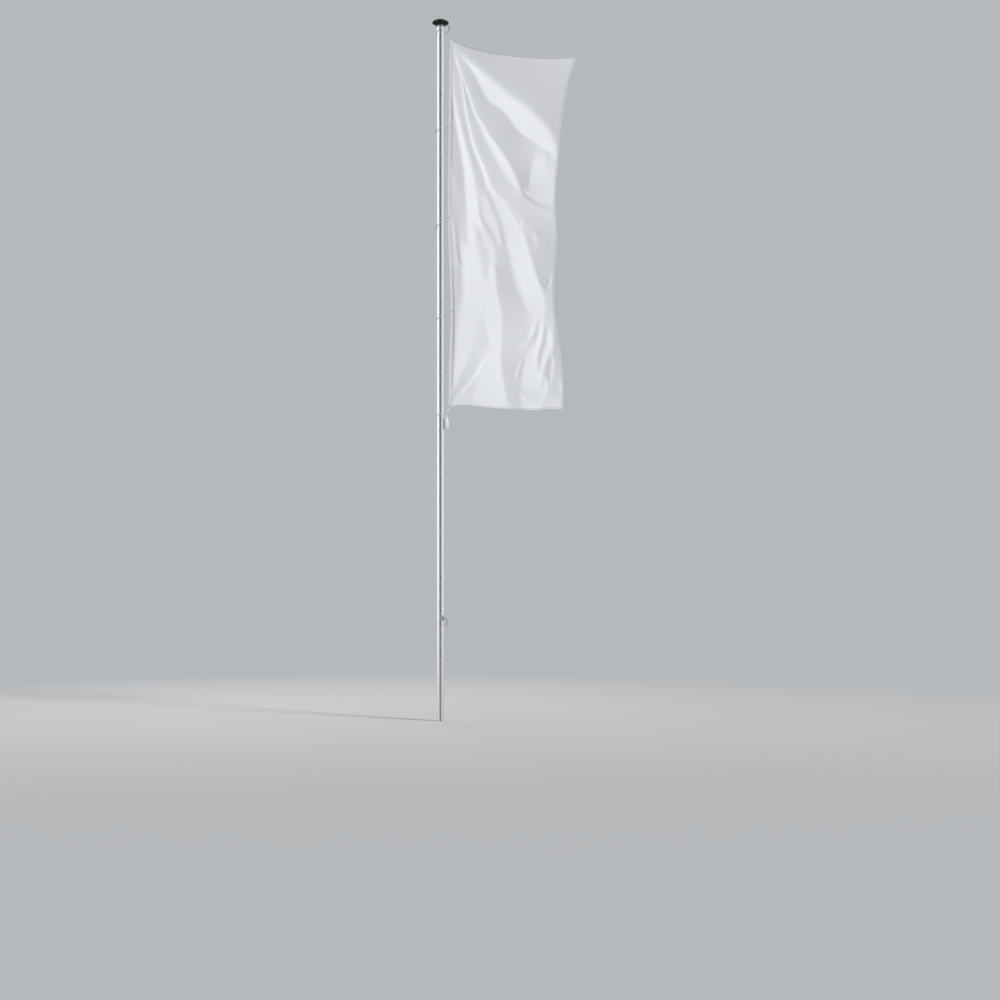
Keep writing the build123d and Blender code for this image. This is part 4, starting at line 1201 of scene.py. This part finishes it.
for number in range(strap_points):
    turn = number / strap_points * 2 * math.pi
    down = (1 - math.cos(turn)) / 2
    middle = strap_top.lerp(neck + Vector((0, 0, -0.004)), down)
    strap_line.append(middle + strap_way * strap_half * (1 - 0.45 * down) * math.sin(turn))
strap = paint(braid("weight_strap", strap_line, cord_thick, closed=True), loop_finish)
for piece in (bag, strap):
    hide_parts("flag_weight")
    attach(piece, "flag_set")

# A plain pale floor. Far from the mast the camera sees it in the even tone of the background.
pale = (0.47, 0.485, 0.50)
bpy.ops.object.select_all(action="DESELECT")
bpy.ops.mesh.primitive_circle_add(vertices=128, radius=90.0, fill_type="NGON", location=(0, 0, 0))
floor = bpy.context.object
floor.name = "floor"
floor_finish = Finish("floor", Roughness=0.9, Specular_IOR_Level=0.1)
from_mast = floor_finish.node(
    "VectorMath", {"operation": "LENGTH"}, output=1, s0=floor_finish.place()
)
seen_from_afar = floor_finish.stops(from_mast / 30.0, (0.08, 0.0), (0.32, 1.0))
seen = floor_finish.node("LightPath", output=0)
shown = floor_finish.node("LightPath", output=3) + floor_finish.node("LightPath", output=6)
floor_finish.vary(seen + shown, (0.30, 0.305, 0.31), (0.62, 0.625, 0.63))
even = floor_finish.node("Emission", Color=(*pale, 1), Strength=1.0)
surface = Wire(floor_finish.tree, floor_finish.shader.outputs[0])
mixed = floor_finish.node("MixShader", s0=seen * seen_from_afar, s1=surface, s2=even)
feed(floor_finish.tree, floor_finish.tree.nodes["Material Output"].inputs["Surface"], mixed)
paint(floor, floor_finish)
floor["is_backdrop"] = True

# A dim sky all round, which the camera and the shiny pieces see as the pale background. The
# main light is broad and stands high on the flag's side. A low one in front lifts the lower
# half of the flag, one behind lifts its back, and two tall ones on each side draw a bright
# line down the tube.
world = bpy.data.worlds.new("sky")
bpy.context.scene.world = world
world.use_nodes = True
sky = world.node_tree
rays = sky.nodes.new("ShaderNodeLightPath")
seen, shown, through = (
    Wire(sky, rays.outputs[f"Is {kind} Ray"]) for kind in ("Camera", "Glossy", "Transmission")
)
light = sky.nodes["Background"]
feed(sky, light.inputs["Color"], (0.90, 0.95, 1.0, 1))
feed(sky, light.inputs["Strength"], 0.10)
backdrop = sky.nodes.new("ShaderNodeBackground")
feed(sky, backdrop.inputs["Color"], (*pale, 1))
mixed = sky.nodes.new("ShaderNodeMixShader")
feed(sky, mixed.inputs[0], seen + shown + through)
feed(sky, mixed.inputs[1], Wire(sky, light.outputs[0]))
feed(sky, mixed.inputs[2], Wire(sky, backdrop.outputs[0]))
feed(sky, sky.nodes["World Output"].inputs["Surface"], Wire(sky, mixed.outputs[0]))


def lamp(name, kind, place, aim, energy, width, height=0.0, spread=180, shines=True):
    """A sun, or a rectangle of a width and height, that shiny pieces show where it shines."""
    data = bpy.data.lights.new(name, kind)
    data.energy = energy
    if kind == "SUN":
        data.angle = math.radians(width)
    else:
        data.shape = "RECTANGLE"
        data.size, data.size_y = width, height
        data.spread = math.radians(spread)
    holder = bpy.data.objects.new(name, data)
    holder.location = place
    holder.rotation_mode = "QUATERNION"
    holder.rotation_quaternion = (Vector(aim) - Vector(place)).to_track_quat("-Z", "Y")
    holder.visible_camera = False
    holder.visible_glossy = shines
    bpy.context.scene.collection.objects.link(holder)


lamp("key", "SUN", (10.8, -7.5, 12.2), (0, 0, 5.0), 3.05, 12.0, shines=False)
lamp("low_fill", "AREA", (6.0, -8.5, 1.8), (0.7, 0, 4.6), 8, 3.0, 3.0, 50, shines=False)
lamp("left_panel", "AREA", (-9.0, -4.4, 6.3), (0, 0, 6.3), 225, 7.0, 13.0)
lamp("right_panel", "AREA", (8.6, -5.0, 6.3), (0, 0, 6.3), 160, 7.0, 13.0)
lamp("left_rim", "AREA", (-9.6, 3.0, 6.3), (0, 0, 6.3), 235, 8.0, 13.0)
lamp("right_rim", "AREA", (9.6, 3.0, 6.3), (0, 0, 6.3), 150, 8.0, 13.0)
lamp("back_fill", "AREA", (-5.0, 9.5, 9.0), (0.4, 0, 5.0), 560, 7.0, 7.0, shines=False)

# A dark board stands far behind the camera. Only shiny pieces show it, as the dark line down
# the middle of the tube.
bpy.ops.object.select_all(action="DESELECT")
bpy.ops.mesh.primitive_plane_add(
    size=1.0, location=(0.6, -34.0, 9.0), rotation=(math.radians(-90), 0, 0)
)
board = bpy.context.object
board.name = "dark_board"
board.scale = (58.0, 40.0, 1.0)
bpy.ops.object.transform_apply(location=True, rotation=True, scale=True)
board_finish = Finish("dark_board", Roughness=1.0, Specular_IOR_Level=0.0)
board_finish.set(Base_Color=(0.32, 0.32, 0.325, 1))
paint(board, board_finish)
board.visible_camera = False
board.visible_diffuse = False
board.visible_shadow = False
board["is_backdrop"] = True

bpy.context.scene.view_settings.view_transform = "Standard"
low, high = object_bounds()
